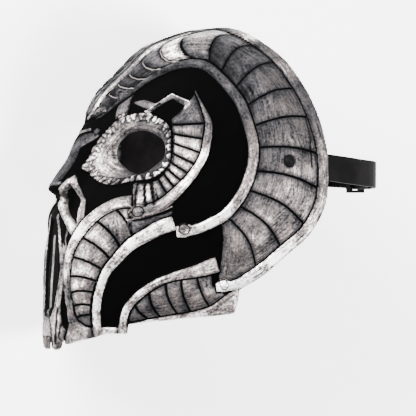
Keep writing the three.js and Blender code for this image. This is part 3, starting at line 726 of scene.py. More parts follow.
scroll_plate = from_side([
    [-69, -43], [-56, -42], [-46, -40], [-37.5, -36.5], [-39.5, -45], [-54, -49], [-66, -55],
])
jaw_hem = np.vstack([jaw_lower, from_side([[5.5, -90]]), from_side([
    [6.5, -97], [5, -102.5], [3.5, -107.5], [-10, -109], [-34, -111], [-54.5, -113], [-66, -114.5],
]) + np.array([1.5, -3])])
chin_plate = from_side([
    [-109.6, -110], [-111, -118], [-114.6, -131], [-105, -130], [-92.6, -126.5], [-93.5, -116.9],
    [-98.1, -115.5], [-103.9, -111.2], [-106, -107],
])
cheek_band_foot = from_side([[-93.4, -117], [-87, -117], [-87, -125], [-93.4, -125]])
jaw_band_foot = from_side([[-76, -115], [-69.3, -115], [-69.3, -123], [-76, -123]])
foot_plate = from_side([[-88, -116.2], [-76, -116.2], [-76, -124], [-88, -124]])
tooth_root = np.vstack([[[-2, -109.8]], from_side([
    [-126.2, -109.8], [-123.3, -109], [-120, -102.5], [-118.3, -91.8], [-115.9, -91.8],
    [-115.9, -106.1], [-115, -114.8], [-111.6, -118.5], [-112.7, -122], [-114.3, -127], [-118, -134],
    [-123, -134],
]), [[-2, -134]]])
joined_plates = [
    (jaw_hem, 0.8, 0.72), (chin_plate, 1.6, 0.5), (foot_plate, 1.2, 0.8), (tooth_root, 1, 0.48),
    (cheek_band_foot, 2.2, 0.7), (jaw_band_foot, 2.2, 0.7),
]
small_plates = [
    (bridge_ridge, 0.7, 0.2), (bridge_diamond, 1, 0.24), (nose_plate, 0.8, 0.4), (leaf_plate, 1.1, 0.26),
    (bolt_plate, 0.9, 0.3),
    (brow_spur, 1, 0.4), (leaf_wedge, 0.9, 0.42), (crescent_end, plate_rise, 0.5),
    (scroll_plate, 1.2, 0.3), (nasal_rim, plate_rise, 0.78), (eye_ring, plate_rise, 0.5),
]

crown_jag = from_side([[-56.4, 74.8], [-44.2, 82.3], [-23.8, 87.4], [-11.6, 86.8]])
bar_first = from_side([[-62.8, -20.1], [-64.2, -34.5]])
bar_second = from_side([[-57.8, -20.1], [-57.1, -34.5]])
bar_third = from_side([[-53.4, -20.1], [-51.2, -33.5]])
ring_line = from_side([[51, 25.2], [54.2, 12], [55.1, -8.8]])
root_line_near = from_side([[-124, -110], [-122.6, -118], [-121.4, -129]])
root_line_far = from_side([[-117.6, -104], [-118.4, -112], [-119.2, -128]])
root_line_side = from_side([[-115.6, -114], [-116.6, -121], [-116.9, -126]])
dark_lines = [
    (crown_jag, 1.6), (bar_first, 0.6), (bar_second, 0.8), (bar_third, 0.7), (ring_line, 0.35),
    (root_line_near, 0.45), (root_line_far, 0.45), (root_line_side, 0.4),
]
studs = from_side([[-62.2, -38.4], [-4.1, -87.7], [-30.9, -50.3]])
stud_tones = [0.34, 0.8, 0.7]
stud_radius = 3.4

# How bright each band is along its length: its silver, with painted highlights and painted shade where the
# light falls on it.
horn_outer_shine = [
    (0, 0.22), (0.06, 0.22), (0.12, 0.2), (0.24, 0.22), (0.28, 0.4), (0.32, 0.8), (0.36, 0.26), (0.42, 0.3),
    (0.47, 0.5), (0.53, 0.24), (0.6, 0.24), (0.66, 0.44), (0.72, 0.5), (0.77, 0.62), (0.82, 0.85), (0.9, 1),
    (1, 1),
]
horn_inner_shine = [
    (0, 0.3), (0.12, 0.2), (0.28, 0.22), (0.4, 0.22), (0.55, 0.28), (0.66, 0.5), (0.78, 0.6), (0.88, 0.95),
    (1, 0.85),
]
crescent_shine = [(0, 0.26), (0.2, 0.4), (0.36, 0.5), (0.48, 0.9), (0.68, 0.95), (0.8, 0.45), (1, 0.28)]
cheek_outer_shine = [(0, 0.5), (0.2, 0.7), (0.35, 0.95), (0.6, 0.7), (0.8, 0.42), (1, 0.44)]
cheek_inner_shine = [(0, 0.85), (0.25, 0.92), (0.8, 0.98), (1, 0.7)]
jaw_shine = [(0, 0.55), (0.3, 0.7), (0.6, 0.9), (1, 0.75)]
eye_ring_shine = [
    (-180, 0.74), (-150, 0.66), (-110, 0.22), (-60, 0.14), (0, 0.24), (45, 0.34), (90, 0.34), (135, 0.56),
    (180, 0.74),
]

bands = [
    (horn_outer_mid, horn_outer_width, horn_outer_shine),
    (horn_inner_mid, horn_inner_width, horn_inner_shine),
    (cheek_outer_mid, cheek_outer_width, cheek_outer_shine),
    (cheek_inner_mid, cheek_inner_width, cheek_inner_shine),
    (crescent_mid, crescent_width, crescent_shine),
    (jaw_mid, jaw_width, jaw_shine),
]

# What the mesh tells the paint at each place. Away from every rib, the phase is halfway.
shell_field_names = [
    "tone", "rib_phase", "rib_gap", "plate_edge", "band_edge", "strip", "strip_side", "pale_ribs", "to_stud",
]
no_phase = 0.5
no_gap = 99.0
far_outside = -9.0


def rib_field(points, outline, lines, tones):
    """Inside distance, rib phase, rib gap and plate tone of a ribbed field."""
    inside = inside_distance(points, outline)
    near = inside > -2.5
    held = points[near]
    count = len(lines)
    lines = [on_paper(line) for line in lines]
    middles = [line[len(line) // 2] for line in lines]
    apart, beyond = np.zeros((count, len(held))), np.zeros((count, len(held)), int)
    for i, line in enumerate(lines):
        toward = middles[i + 1] - middles[i] if i + 1 < count else middles[i] - middles[i - 1]
        turn = np.sign(flat_cross(line[-1] - line[0], toward))
        index, _, apart[i] = near_line(held, line)
        left = flat_cross(line[index + 1] - line[index], held - line[index])
        beyond[i] = left * turn > 0
    column = np.arange(len(held))
    nearest = np.argmin(apart, axis=0)
    passed = nearest + beyond[nearest, column]
    before = np.where(passed > 0, apart[np.maximum(passed - 1, 0), column], end_plate_gap)
    after = np.where(passed < count, apart[np.minimum(passed, count - 1), column], end_plate_gap)
    phase, gap = np.full(len(points), no_phase), np.full(len(points), no_gap)
    tone = np.zeros(len(points))
    phase[near] = passed + before / np.maximum(before + after, 1e-6)
    gap[near] = before + after
    tone[near] = np.array(tones)[np.minimum(passed, len(tones) - 1)]
    return inside, phase, gap, tone


def stitch_places():
    """Stitches over the rim of the eye ring, each a short stroke across it."""
    path = on_paper(smooth_path(closed(eye_ring), stitch_gap))
    centre = on_paper(eye_hole).mean(0)
    strokes = []
    for i, place in enumerate(path[:-1]):
        inward = unit(centre - place)
        slant = np.array([-inward[1], inward[0]]) * math.sin(i * 2.7) * 0.5
        reach = 2.2 + 1.6 * math.sin(i * 1.9) ** 2
        strokes.append((place - inward * 0.5, place + (inward + slant) * reach))
    return strokes


def raised(inside, rise):
    """The height of a raised form, which slopes up from its edge."""
    return rise * ease(inside / relief_slope)


def shell_fields(azimuth, height, rim):
    """Height of the relief, and the paint fields, at places on the outer face."""
    points = on_paper(np.stack([np.abs(azimuth), height], -1))
    count = len(points)
    relief, tone = np.zeros(count), np.full(count, ground_tone)
    phase, gap = np.full(count, no_phase), np.full(count, no_gap)
    plate_edge, band_edge = np.full(count, far_outside), np.full(count, far_outside)

    def unribbed(where):
        phase[where] = no_phase
        gap[where] = no_gap

    for outline, lines, tones in ribbed_fields:
        inside, own_phase, own_gap, own_tone = rib_field(points, outline, lines, tones)
        held, near = inside > 0, inside > -1.5
        part = own_phase % 1
        to_rib = np.minimum(part, 1 - part) * own_gap
        groove = groove_depth * np.clip(1 - to_rib / groove_half_width, 0, 1)
        crown = plate_crown * np.sin(math.pi * part) * ease(inside / 3)
        relief = np.where(held, raised(inside, plate_rise) - groove + crown, relief)
        # Each plate is painted lighter toward one rib and darker at the other: painted light and shade
        # across the plate.
        tone = np.where(held, own_tone * (0.78 + 0.44 * part), tone)
        phase[near] = own_phase[near]
        gap[near] = own_gap[near]
        plate_edge = np.maximum(plate_edge, inside)

    # Behind the crown, the horn's plates get a painted shade that darkens toward the inner band.
    in_horn = inside_distance(points, horn_field)
    behind_crown = (in_horn > 0) & (phase > 6)
    inner_shade = 0.7 + 0.3 * ease((line_distance(points, horn_inner_mid) - 4) / 14)
    tone = np.where(behind_crown, tone * inner_shade, tone)

    for outline, rise, own_tone in small_plates:
        inside = inside_distance(points, outline)
        held = inside > 0
        relief = np.where(held, np.maximum(raised(inside, rise), relief * 0.3), relief)
        tone[held] = own_tone
        unribbed(held)
        plate_edge = np.where(held, inside, np.maximum(plate_edge, inside))

    # The eye ring gets painted light and shade by its bearing from the eye, and is stitched.
    in_ring = inside_distance(points, eye_ring)
    across, up = (points - on_paper(eye_hole).mean(0)).T
    bearing = np.degrees(np.arctan2(up, across))
    tone = np.where(in_ring > 0, np.interp(bearing, *zip(*eye_ring_shine)), tone)
    stitch = np.full(count, far_outside)
    around = in_ring > -3
    for start, stop in stitch_places():
        distance = near_segment(points[around], start, stop)[1]
        stitch[around] = np.maximum(stitch[around], stitch_radius - distance)
    relief = relief + stitch_rise * np.sqrt(np.clip(stitch / stitch_radius, 0, 1))
    # A painted shade rings each raised stitch.
    tone = np.where((stitch > -1.2) & (stitch < -0.2), tone * 0.35, tone)
    tone = np.where(stitch > -0.2, np.maximum(stitch_tone, tone), tone)

    for mid, width_at, shine in bands:
        inside = inside_distance(points, ribbon(mid, width_at))
        held = inside > 0
        rounded = 0.25 * ease(inside / 3)
        if mid is horn_outer_mid:
            rounded = 0.5 * np.clip(1 - line_distance(points, mid) / 2.8, 0, 1)
        band_face = np.maximum(relief * 0.2, raised(inside, band_rise)) + rounded
        moat = moat_depth * np.clip(1 - np.abs(inside / moat_half_width + 1), 0, 1) * (plate_edge > 0)
        relief = np.where(held, band_face, relief - moat)
        beside = (inside > -0.5) & (band_edge < inside)
        tone = np.where(held | beside, np.interp(share_along(points, mid), *zip(*shine)), tone)
        unribbed(held)
        band_edge = np.where(held, inside, np.maximum(band_edge, inside))

    for outline, rise, own_tone in joined_plates:
        inside = inside_distance(points, outline)
        free = (inside > 0) & (band_edge < 0.3)
        relief = np.where(inside > 0, np.maximum(relief, raised(inside, rise)), relief)
        tone[free] = own_tone
        unribbed(free)
        band_edge = np.maximum(band_edge, inside)

    strip, strip_side = np.full(count, far_outside), np.full(count, -far_outside)
    for path, half_width, own_tone in strips:
        distance, offset = beside_line(points, path)
        inside = half_width - distance
        closer = inside > strip
        tone[(inside > -1) & closer] = own_tone
        strip_side = np.where(closer, offset / half_width, strip_side)
        strip = np.maximum(strip, inside)
    relief = relief + strip_rise * ease(strip / 0.6)

    for path, half_width in dark_lines:
        distance = line_distance(points, path)
        dark = distance < half_width + 0.4
        tone = np.where(dark, tone * ease((distance - half_width) / 0.5 + 0.2), tone)
        relief = relief - dark_line_depth * np.clip(1 - distance / (half_width + 0.4), 0, 1)

    to_stud = np.full(count, -far_outside)
    for place, own_tone in zip(studs, stud_tones):
        distance = np.linalg.norm(points - on_paper(place), axis=1)
        tone[distance < stud_radius] = own_tone
        to_stud = np.minimum(to_stud, distance)
    relief = relief + stud_rise * ease((stud_radius - to_stud) / 1.4)
    band_edge = np.where(to_stud < stud_radius + 1.5, np.maximum(band_edge, 2), band_edge)

    # A painted shade rings the rivet head on the leather, where the head overhangs it.
    to_rivet = np.linalg.norm(points - on_paper(rivet_place[0]), axis=1)
    tone = tone * (0.15 + 0.85 * ease((to_rivet - rivet_head_radius - 0.4) / 1.2))

    mouth = np.maximum(inside_distance(points, mouth_middle), inside_distance(points, mouth_side))
    relief = np.where(mouth > 0, -mouth_depth * ease(mouth / 1.2), relief)
    tone = np.where((mouth > 0) & (strip < -1), mouth_tone, tone)

    # Lumps on the eye ring, slow wrinkles all over, and a rounded rim.
    to_hole = line_distance(points, closed(eye_hole))
    lumpy = np.where(in_ring > 0, ease((to_hole - 0.5) / 3), 0)
    lump = np.array([
        noise.noise(Vector((x, y, 4))) if share else 0 for (x, y), share in zip(points / lump_size, lumpy)
    ])
    wrinkle = np.array([noise.noise(Vector((x, y, 1))) for x, y in points / wrinkle_size])
    drop = rim_rounding * (1 - np.sqrt(1 - (1 - np.clip(rim / rim_rounding, 0, 1)) ** 2))
    relief = relief + lump_rise * lump * lumpy + wrinkle_rise * wrinkle - drop
    pale_ribs = ((in_horn > -2) & (phase < 5.6)).astype(float)
    return relief, [
        tone, phase, gap, np.clip(plate_edge, -6, 30), np.clip(band_edge, -6, 6), np.clip(strip, -6, 6),
        np.clip(strip_side, -6, 6), pale_ribs, to_stud,
    ]


def disc_outline(place, radius, sides=24):
    angle = np.arange(sides) * 2 * math.pi / sides
    return off_paper(on_paper(place) + radius * np.stack([np.cos(angle), np.sin(angle)], -1))


# The corners of a grid cell in turn, and the cell across each of its sides.
corners = [(0, 0), (1, 0), (1, 1), (0, 1)]
next_corners = corners[1:] + corners[:1]
neighbours = [(0, -1), (1, 0), (0, 1), (-1, 0)]


def touched(cells):
    """How many of the cells touch each vertex of the grid."""
    count = np.zeros((cells.shape[0] + 1, cells.shape[1] + 1), int)
    for i, j in corners:
        count[i:i + cells.shape[0], j:j + cells.shape[1]] += cells
    return count


def shell_grid():
    """The shell's grid on the pattern: its places, its cells, which vertices are used, which are
    on a rim, and how far each is from a rim."""
    low, high = half_outline[:, 1].min() - outer_cell, half_outline[:, 1].max() + outer_cell
    x = np.arange(int(on_paper(half_outline)[:, 0].max() / outer_cell) + 2) * outer_cell
    y = low + np.arange(int((high - low) / outer_cell) + 2) * outer_cell
    points = np.stack(np.meshgrid(x, y, indexing="ij"), -1).reshape(-1, 2)
    rivet_hole = disc_outline(rivet_place[0], rivet_shank_radius + piece_gap)
    holes = [eye_hole, nasal_hole, rivet_hole]
    inside = inside_distance(points, mask_outline)
    for hole in holes:
        inside = np.minimum(inside, -inside_distance(points, hole))
    inside = inside.reshape(len(x), len(y))
    inside = np.vstack([inside[:0:-1], inside])
    places = np.stack(np.meshgrid(np.concatenate([-x[:0:-1], x]), y, indexing="ij"), -1)

    kept = inside > -0.45 * outer_cell
    cells = kept[:-1, :-1] & kept[1:, :-1] & kept[1:, 1:] & kept[:-1, 1:]
    count = touched(cells)
    used, rim = count > 0, (count > 0) & (count < 4)

    # Rim vertices move onto the nearest outline.
    edge = places[rim]
    mirror = np.where(edge[:, :1] < 0, -1, 1) * np.array([1, 0]) + np.array([0, 1])
    edge = edge * mirror
    target, best = edge.copy(), np.full(len(edge), np.inf)
    for outline in (mask_outline, *holes):
        line = closed(on_paper(outline))
        index, share, distance = near_line(edge, line)
        foot = line[index] + share[:, None] * (line[index + 1] - line[index])
        closer = distance < best
        target[closer] = foot[closer]
        best[closer] = distance[closer]
    places[rim] = target * mirror
    return places, cells, used, rim, np.where(rim, 0, np.maximum(inside, 0))


def new_object(name, mesh):
    """An object of the mesh in the scene, the only one selected."""
    obj = bpy.data.objects.new(name, mesh)
    bpy.context.scene.collection.objects.link(obj)
    bpy.ops.object.select_all(action="DESELECT")
    bpy.context.view_layer.objects.active = obj
    obj.select_set(True)
    return obj


def make_shell():
    """The fine outer face, the coarser inner one, and the cut edges between them."""
    places, cells, used, rim, inside = shell_grid()
    index = np.full(used.shape, -1)
    index[used] = np.arange(used.sum())
    azimuth, height = places[used][:, 0] / mm_per_degree, places[used][:, 1]

    # The left half is worked out, and the right half takes its values.
    half = azimuth >= -1e-9
    mirrored = index[::-1]
    both = (index >= 0) & (mirrored >= 0)
    twin = np.arange(len(azimuth))
    twin[index[both]] = mirrored[both]
    in_half = (np.cumsum(half) - 1)[np.where(half, np.arange(len(azimuth)), twin)]
    out = swell(azimuth[half], height[half])[in_half]
    relief, fields = shell_fields(azimuth[half], height[half], inside[used][half])
    outer = in_row(on_head(azimuth, height, out + relief[in_half]))

    # Inside, whole blocks of cells away from every rim have one face each.
    size = coarse_cells
    columns, rows = cells.shape[0] // size, cells.shape[1] // size
    blocks = cells[:columns * size, :rows * size].reshape(columns, size, rows, size).all(axis=(1, 3))
    for i, j in np.argwhere(blocks):
        blocks[i, j] = not rim[i * size:(i + 1) * size + 1, j * size:(j + 1) * size + 1].any()
    single = cells.copy()
    single[:columns * size, :rows * size] &= ~blocks.repeat(size, 0).repeat(size, 1)
    inner_used = touched(single) > 0
    for i, j in np.argwhere(blocks):
        for di, dj in corners:
            inner_used[(i + di) * size, (j + dj) * size] = True
    inner_index = np.full(used.shape, -1)
    inner_index[inner_used] = len(outer) + np.arange(inner_used.sum())
    source = index[inner_used]
    inner = in_row(on_head(azimuth[source], height[source], out[source] - leather_thickness))

    outer_faces, inner_faces, cut_faces = [], [], []
    for i, j in np.argwhere(cells):
        outer_faces.append([index[i + di, j + dj] for di, dj in corners])
    for i, j in np.argwhere(single):
        inner_faces.append([inner_index[i + dj, j + di] for di, dj in corners])
    for i, j in np.argwhere(blocks):
        ring = [
            inner_index[(i + aj) * size + (bj - aj) * step, (j + ai) * size + (bi - ai) * step]
            for (ai, aj), (bi, bj) in zip(corners, next_corners)
            for step in range(size)
        ]
        inner_faces.append([vertex for vertex in ring if vertex >= 0])
    padded = np.pad(cells, 1)
    for i, j in np.argwhere(cells):
        for (ai, aj), (bi, bj), (ni, nj) in zip(corners, next_corners, neighbours):
            if not padded[i + ni + 1, j + nj + 1]:
                a, b = (i + ai, j + aj), (i + bi, j + bj)
                cut_faces.append([index[b], index[a], inner_index[a], inner_index[b]])

    faces = [[int(vertex) for vertex in face] for face in outer_faces + inner_faces + cut_faces]
    mesh = bpy.data.meshes.new("mask_shell")
    mesh.from_pydata(np.vstack([outer, inner]).tolist(), [], faces)
    for name, values in zip(shell_field_names, fields):
        values = values[in_half]
        edge_share = cut_edge_tone if name == "tone" else 1
        attribute = mesh.attributes.new(name, "FLOAT", "POINT")
        attribute.data.foreach_set(
            "value", np.concatenate([values, values[source] * edge_share]).astype(np.float32),
        )
    slots = np.repeat([0, 1, 0], [len(outer_faces), len(inner_faces), len(cut_faces)])
    mesh.polygons.foreach_set("material_index", slots.astype(np.int32))
    mesh.polygons.foreach_set("use_smooth", np.ones(len(faces), bool))
    return new_object("mask_shell", mesh)


# Materials.

def colour(code):
    """A hex sRGB colour as linear RGBA."""
    parts = [int(code[i:i + 2], 16) / 255 for i in (1, 3, 5)]
    linear = [c / 12.92 if c <= 0.04045 else ((c + 0.055) / 1.055) ** 2.4 for c in parts]
    return (*linear, 1)


def new_material(name, values):
    """A material, its tree and its shader, with values on the shader's own sockets."""
    material = bpy.data.materials.new(name)
    material.use_nodes = True
    tree = material.node_tree
    shader = next(node for node in tree.nodes if node.type == "BSDF_PRINCIPLED")
    for socket, value in values.items():
        shader.inputs[socket].default_value = value
    return material, tree, shader


def add(tree, kind, inputs=(), output=0, **settings):
    """Adds a node with its settings, its inputs set or linked, and returns one of its outputs."""
    node = tree.nodes.new("ShaderNode" + kind)
    for name, value in settings.items():
        setattr(node, name, value)
    for name, value in inputs.items() if isinstance(inputs, dict) else enumerate(inputs):
        if isinstance(value, bpy.types.NodeSocket):
            tree.links.new(value, node.inputs[name])
        else:
            node.inputs[name].default_value = value
    return node.outputs[output]


def speckle(tree, millimetres, detail=3, roughness=0.55):
    """Noise with blotches of about this size."""
    place = add(tree, "TexCoord", output="Object")
    return add(tree, "TexNoise", {
        "Vector": place, "Scale": 1 / (millimetres * MM), "Detail": detail, "Roughness": roughness,
    })


def silvered_leather():
    """Black dyed leather, its raised parts brushed and rubbed with silver paint: flat black ground,
    and a patchy, soft metal gleam on all that stands out.

    The mesh holds, in millimetres, how far each place is inside a plate, a band or a strip, and
    where it is between two ribs. The paint stops short of every edge and groove, and is darker
    beside them."""
    material, tree, shader = new_material("silver_rubbed_black_leather", {})
    tone, phase, gap, plate_edge, band_edge, strip, strip_side, pale_ribs, to_stud = [
        add(tree, "Attribute", output="Fac", attribute_name=name) for name in shell_field_names
    ]
    ragged = add(tree, "Math", [speckle(tree, 2), 1.1, -0.55], operation="MULTIPLY_ADD")

    # Plates: paint between the ribs, clear of the bands.
    between_ribs = add(tree, "Math", [phase, 0.5], operation="PINGPONG")
    to_rib = add(tree, "Math", [between_ribs, gap], operation="MULTIPLY")
    off_band = add(tree, "Math", [band_edge, -1], operation="MULTIPLY")
    off_edges = add(tree, "Math", [plate_edge, off_band], operation="MINIMUM")
    clear = add(tree, "Math", [off_edges, to_rib], operation="MINIMUM")
    clear = add(tree, "Math", [ragged, 0.6, clear], operation="MULTIPLY_ADD")
    on_plate = add(tree, "MapRange", [clear, 0.45, 1], interpolation_type="SMOOTHSTEP")
    plate_rub = add(tree, "MapRange", [clear, 0.6, 3.8, 0.6, 1.02], interpolation_type="SMOOTHSTEP")
    plate_paint = add(tree, "Math", [on_plate, plate_rub], operation="MULTIPLY")

    # Bands: paint over the whole width but for a thin dark edge.
    ragged_band = add(tree, "Math", [ragged, 0.5, band_edge], operation="MULTIPLY_ADD")
    on_band = add(tree, "MapRange", [ragged_band, 0.15, 0.6], interpolation_type="SMOOTHSTEP")
    band_rub = add(tree, "MapRange", [band_edge, 0.4, 2, 0.78, 1.03], interpolation_type="SMOOTHSTEP")
    band_paint = add(tree, "Math", [on_band, band_rub], operation="MULTIPLY")

    # Strips: thin strokes of paint, as wide as their own half width.
    across = add(tree, "Math", [strip_side], operation="ABSOLUTE")
    across = add(tree, "Math", [ragged, 0.25, across], operation="MULTIPLY_ADD")
    in_width = add(tree, "MapRange", [across, 1.1, 0.7], interpolation_type="SMOOTHSTEP")
    in_reach = add(tree, "MapRange", [strip, -1, -0.5], interpolation_type="SMOOTHSTEP")
    strip_paint = add(tree, "Math", [in_width, in_reach], operation="MULTIPLY")

    painted = add(tree, "Math", [plate_paint, strip_paint], operation="MAXIMUM")
    painted = add(tree, "Math", [painted, band_paint], operation="MAXIMUM")

    # Brush strokes run along the edges: the noise changes slowly over the piece, in 11 mm, and fast
    # away from an edge, in 1.1 mm.
    stroke_length = 11 * MM
    stroke_width = 1.1
    band_depth = add(tree, "Math", [on_band, band_edge], operation="MULTIPLY")
    plate_depth = add(tree, "Math", [on_plate, plate_edge], operation="MULTIPLY")
    edge = add(tree, "Math", [band_depth, plate_depth], operation="MAXIMUM")
    stroke_count = add(tree, "Math", [edge, stroke_width], operation="DIVIDE")
    away = add(tree, "CombineXYZ", {"Z": stroke_count})
    place = add(tree, "TexCoord", output="Object")
    slow = add(tree, "VectorMath", {0: place, "Scale": 1 / stroke_length}, operation="SCALE")
    brushed = add(tree, "VectorMath", [slow, away], operation="ADD")
    strokes = add(tree, "TexNoise", {"Vector": brushed, "Scale": 1, "Detail": 5, "Roughness": 0.65})

    # Wear: patches, strokes and pits, each about its own middle.
    pits = speckle(tree, 1.6, roughness=0.7)
    kinds_of_wear = [(speckle(tree, 12, detail=5), 2.4), (strokes, 2.4), (pits, 2.2)]
    wear = 0.95 - sum(strength for _, strength in kinds_of_wear) / 2
    for pattern, strength in kinds_of_wear:
        wear = add(tree, "Math", [pattern, strength, wear], operation="MULTIPLY_ADD")
    amount = add(tree, "Math", [tone, wear], operation="MULTIPLY")
    amount = add(tree, "Math", [amount, painted], operation="MULTIPLY")

    # A pale line in the ribs of the brow and crown, and a dark ring round each stud.
    rib_room = add(tree, "MapRange", [off_edges, 0.3, 0.8], interpolation_type="SMOOTHSTEP")
    rib_share = add(tree, "Math", [pale_ribs, rib_room], operation="MULTIPLY")
    rib_line = add(tree, "MapRange", [to_rib, 0.42, 0.16, 0, 0.5], interpolation_type="SMOOTHSTEP")
    rib_line = add(tree, "Math", [rib_line, rib_share], operation="MULTIPLY")
    amount = add(tree, "Math", [amount, rib_line], operation="MAXIMUM")
    off_ring = add(tree, "Math", [to_stud, stud_radius], operation="SUBTRACT")
    off_ring = add(tree, "Math", [off_ring], operation="ABSOLUTE")
    off_ring = add(tree, "MapRange", [off_ring, 0.1, 0.5], interpolation_type="SMOOTHSTEP")
    amount = add(tree, "Math", [amount, off_ring], operation="MULTIPLY")

    tint = add(tree, "ValToRGB", [amount])
    stops = tint.node.color_ramp.elements
    stops[0].color = colour("#010101")
    stops[1].color = colour("#f3f1f0")
    for share, code in ((0.1, "#101011"), (0.25, "#242325"), (0.45, "#474140"), (0.7, "#807674")):
        stops.new(share).color = colour(code)
    tree.links.new(tint, shader.inputs["Base Color"])
    for socket, dyed, coated in (
        ("Metallic", 0, 0.7), ("Roughness", 0.85, 0.4), ("Specular IOR Level", 0.012, 0.362),
    ):
        gleam = add(tree, "MapRange", [amount, 0.06, 0.5, dyed, coated], interpolation_type="SMOOTHSTEP")
        tree.links.new(gleam, shader.inputs[socket])
    grain = add(tree, "Math", [pits, 0.6, strokes], operation="MULTIPLY_ADD")
    bump = add(tree, "Bump", {"Strength": 0.6, "Distance": 0.5 * MM, "Height": grain})
    tree.links.new(bump, shader.inputs["Normal"])
    return material


def plain_leather(name, dark, light, roughness, grain, depth):
    """Leather of one dye, nearly matt, and a little paler where it is worn. The grain is drawn
    coarser than the real one, so that it shows."""
    material, tree, shader = new_material(name, {"Roughness": roughness, "Specular IOR Level": 0.04})
    worn = add(tree, "MapRange", [speckle(tree, 14, detail=4), 0.3, 0.75], interpolation_type="SMOOTHSTEP")
    dye = add(tree, "Mix", {0: worn, 6: colour(dark), 7: colour(light)}, output=2, data_type="RGBA")
    tree.links.new(dye, shader.inputs["Base Color"])
    pores = speckle(tree, grain, detail=4)
    bump = add(tree, "Bump", {"Strength": 0.6, "Distance": depth * MM, "Height": pores})
    tree.links.new(bump, shader.inputs["Normal"])
    return material


def blackened_steel():
    """Steel under a matt black oxide coat, so that hardly any metal gleam is left."""
    material, tree, shader = new_material(
        "blackened_steel", {"Metallic": 0.05, "Roughness": 0.5, "Specular IOR Level": 0.03},
    )
    coat = add(tree, "Mix", {0: speckle(tree, 3), 6: colour("#030303"), 7: colour("#0c0c0d")},
               output=2, data_type="RGBA")
    tree.links.new(coat, shader.inputs["Base Color"])
    return material


paint = silvered_leather()
lining = plain_leather("black_flesh_side_leather", "#0b0a0a", "#171415", 0.8, 1.1, 0.4)
strap_leather = plain_leather("dark_strap_leather", "#020202", "#0a0809", 0.6, 0.9, 0.2)
steel = blackened_steel()


# Pieces.

def finished(obj, node, slot, *materials):
    """Materials set, and the piece put in place of its CAD node."""
    for material in materials:
        obj.data.materials.append(material)
    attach(obj, "root")
    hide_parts(node)


def strap_piece(name, node):
    """A strap with softened edges, from the CAD shape."""
    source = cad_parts[node]
    mesh = source.data.copy()
    mesh.transform(source.matrix_world)
    mesh.materials.clear()
    obj = new_object(name, mesh)
    bpy.ops.object.mode_set(mode="EDIT")
    bpy.ops.mesh.select_all(action="SELECT")
    bpy.ops.mesh.remove_doubles(threshold=merge_distance)
    bpy.ops.mesh.dissolve_limited(angle_limit=2 * DEGREE)
    bpy.ops.mesh.normals_make_consistent(inside=False)
    bpy.ops.object.mode_set(mode="OBJECT")
    bevel = obj.modifiers.new("soft_edges", "BEVEL")
    bevel.width = strap_edge_softness * MM
    bevel.segments = 3
    bevel.limit_method = "ANGLE"
    bevel.angle_limit = 40 * DEGREE
    bpy.ops.object.shade_smooth_by_angle(angle=35 * DEGREE)
    finished(obj, node, "strap_leather", strap_leather)


def turned_piece(name, node, profile, foot, direction):
    """A rivet or stud, its profile spun round its axis."""
    right = unit(np.cross(direction, [0, 0, 1]))
    outline = in_row(np.array([foot + direction * z + right * r for r, z in profile]))
    mesh = bpy.data.meshes.new(name)
    mesh.from_pydata(outline.tolist(), [(i, i + 1) for i in range(len(outline) - 1)], [])
    obj = new_object(name, mesh)
    bpy.ops.object.mode_set(mode="EDIT")
    bpy.ops.mesh.select_all(action="SELECT")
    bpy.ops.mesh.spin(
        steps=turned_sides, angle=2 * math.pi,
        center=in_row(foot).tolist(), axis=(lying @ direction).tolist(),
    )
    bpy.ops.mesh.select_all(action="SELECT")
    bpy.ops.mesh.remove_doubles(threshold=merge_distance)
    bpy.ops.mesh.normals_make_consistent(inside=False)
    bpy.ops.object.mode_set(mode="OBJECT")
    bpy.ops.object.shade_smooth_by_angle(angle=50 * DEGREE)
    finished(obj, node, "black_steel", steel)


finished(make_shell(), "leather_mask", "silvered_leather", paint, lining)
strap_piece("side_strap_left", "left_strap")
strap_piece("side_strap_right", "right_strap")
strap_piece("strap_keeper_loop", "strap_keeper")
turned_piece("rivet_left", "left_rivet", rivet_profile, rivet_foot, rivet_direction)
turned_piece("rivet_right", "right_rivet", rivet_profile, *form_frame(rivet_place[0], -1))
stud_foot = on_head(*stud_place)
stud_direction = unit(on_head(*stud_place, 1) - stud_foot)
stud_profile = fastening_profile(stud_seat + fastening_gap, strap_inner_face - fastening_gap)
turned_piece("back_stud", "strap_stud", stud_profile, stud_foot, stud_direction)


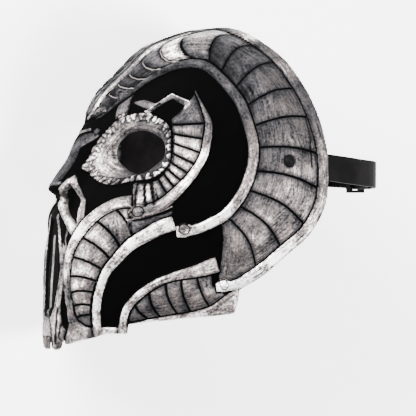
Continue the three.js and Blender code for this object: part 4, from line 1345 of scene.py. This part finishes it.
# Floor, light and camera. The floor glows a little, so that it shows near white.

floor_material, *_ = new_material("pale_floor", {
    "Base Color": colour("#fbfbfb"), "Roughness": 0.9,
    "Emission Color": colour("#ffffff"), "Emission Strength": 1.4,
})
bpy.ops.object.select_all(action="DESELECT")
bpy.ops.mesh.primitive_plane_add(size=8, location=(0, 0, -0.2 * MM))
floor = bpy.context.object
floor.name = "floor"
floor.data.materials.append(floor_material)

across = np.array([math.cos(sheet_yaw), math.sin(sheet_yaw), 0])
toward = np.array([math.sin(sheet_yaw), -math.cos(sheet_yaw), 0])
# The middle of the picture, in the wearer's frame: along the drawing sheet, up it and before it.
picture_middle = across * -15 + np.array([0, 0, -36]) + toward * 40
camera_distance = 3.5
frame_width = 0.283
camera_right, camera_up, camera_back = lying @ across, lying @ np.array([0, 0, 1]), lying @ toward
target = Vector(in_row(picture_middle))
camera_data = bpy.data.cameras.new("camera")
camera_data.lens = camera_data.sensor_width * camera_distance / frame_width
camera = bpy.data.objects.new("camera", camera_data)
turn = Matrix([camera_right, camera_up, camera_back]).transposed().to_4x4()
camera.matrix_world = Matrix.Translation(target + Vector(camera_back) * camera_distance) @ turn
bpy.context.scene.collection.objects.link(camera)
bpy.context.scene.camera = camera


def soft_light(name, right, up, back, size, power):
    """An area light placed by the camera's own right, up and back, in metres from the mask."""
    data = bpy.data.lights.new(name, "AREA")
    data.shape = "SQUARE"
    data.size = size
    data.energy = power
    light = bpy.data.objects.new(name, data)
    place = Vector(camera_right) * right + Vector(camera_up) * up + Vector(camera_back) * back
    light.location = target + place
    light.rotation_euler = place.to_track_quat("Z", "Y").to_euler()
    bpy.context.scene.collection.objects.link(light)


soft_light("key", -0.8, 1.0, 1.5, 1.0, 250)
soft_light("side", 1.5, -0.3, 0.9, 0.8, 100)
world = bpy.data.worlds.new("soft_room")
world.use_nodes = True
world.node_tree.nodes["Background"].inputs["Color"].default_value = colour("#f2f3f5")
world.node_tree.nodes["Background"].inputs["Strength"].default_value = 0.7
bpy.context.scene.world = world
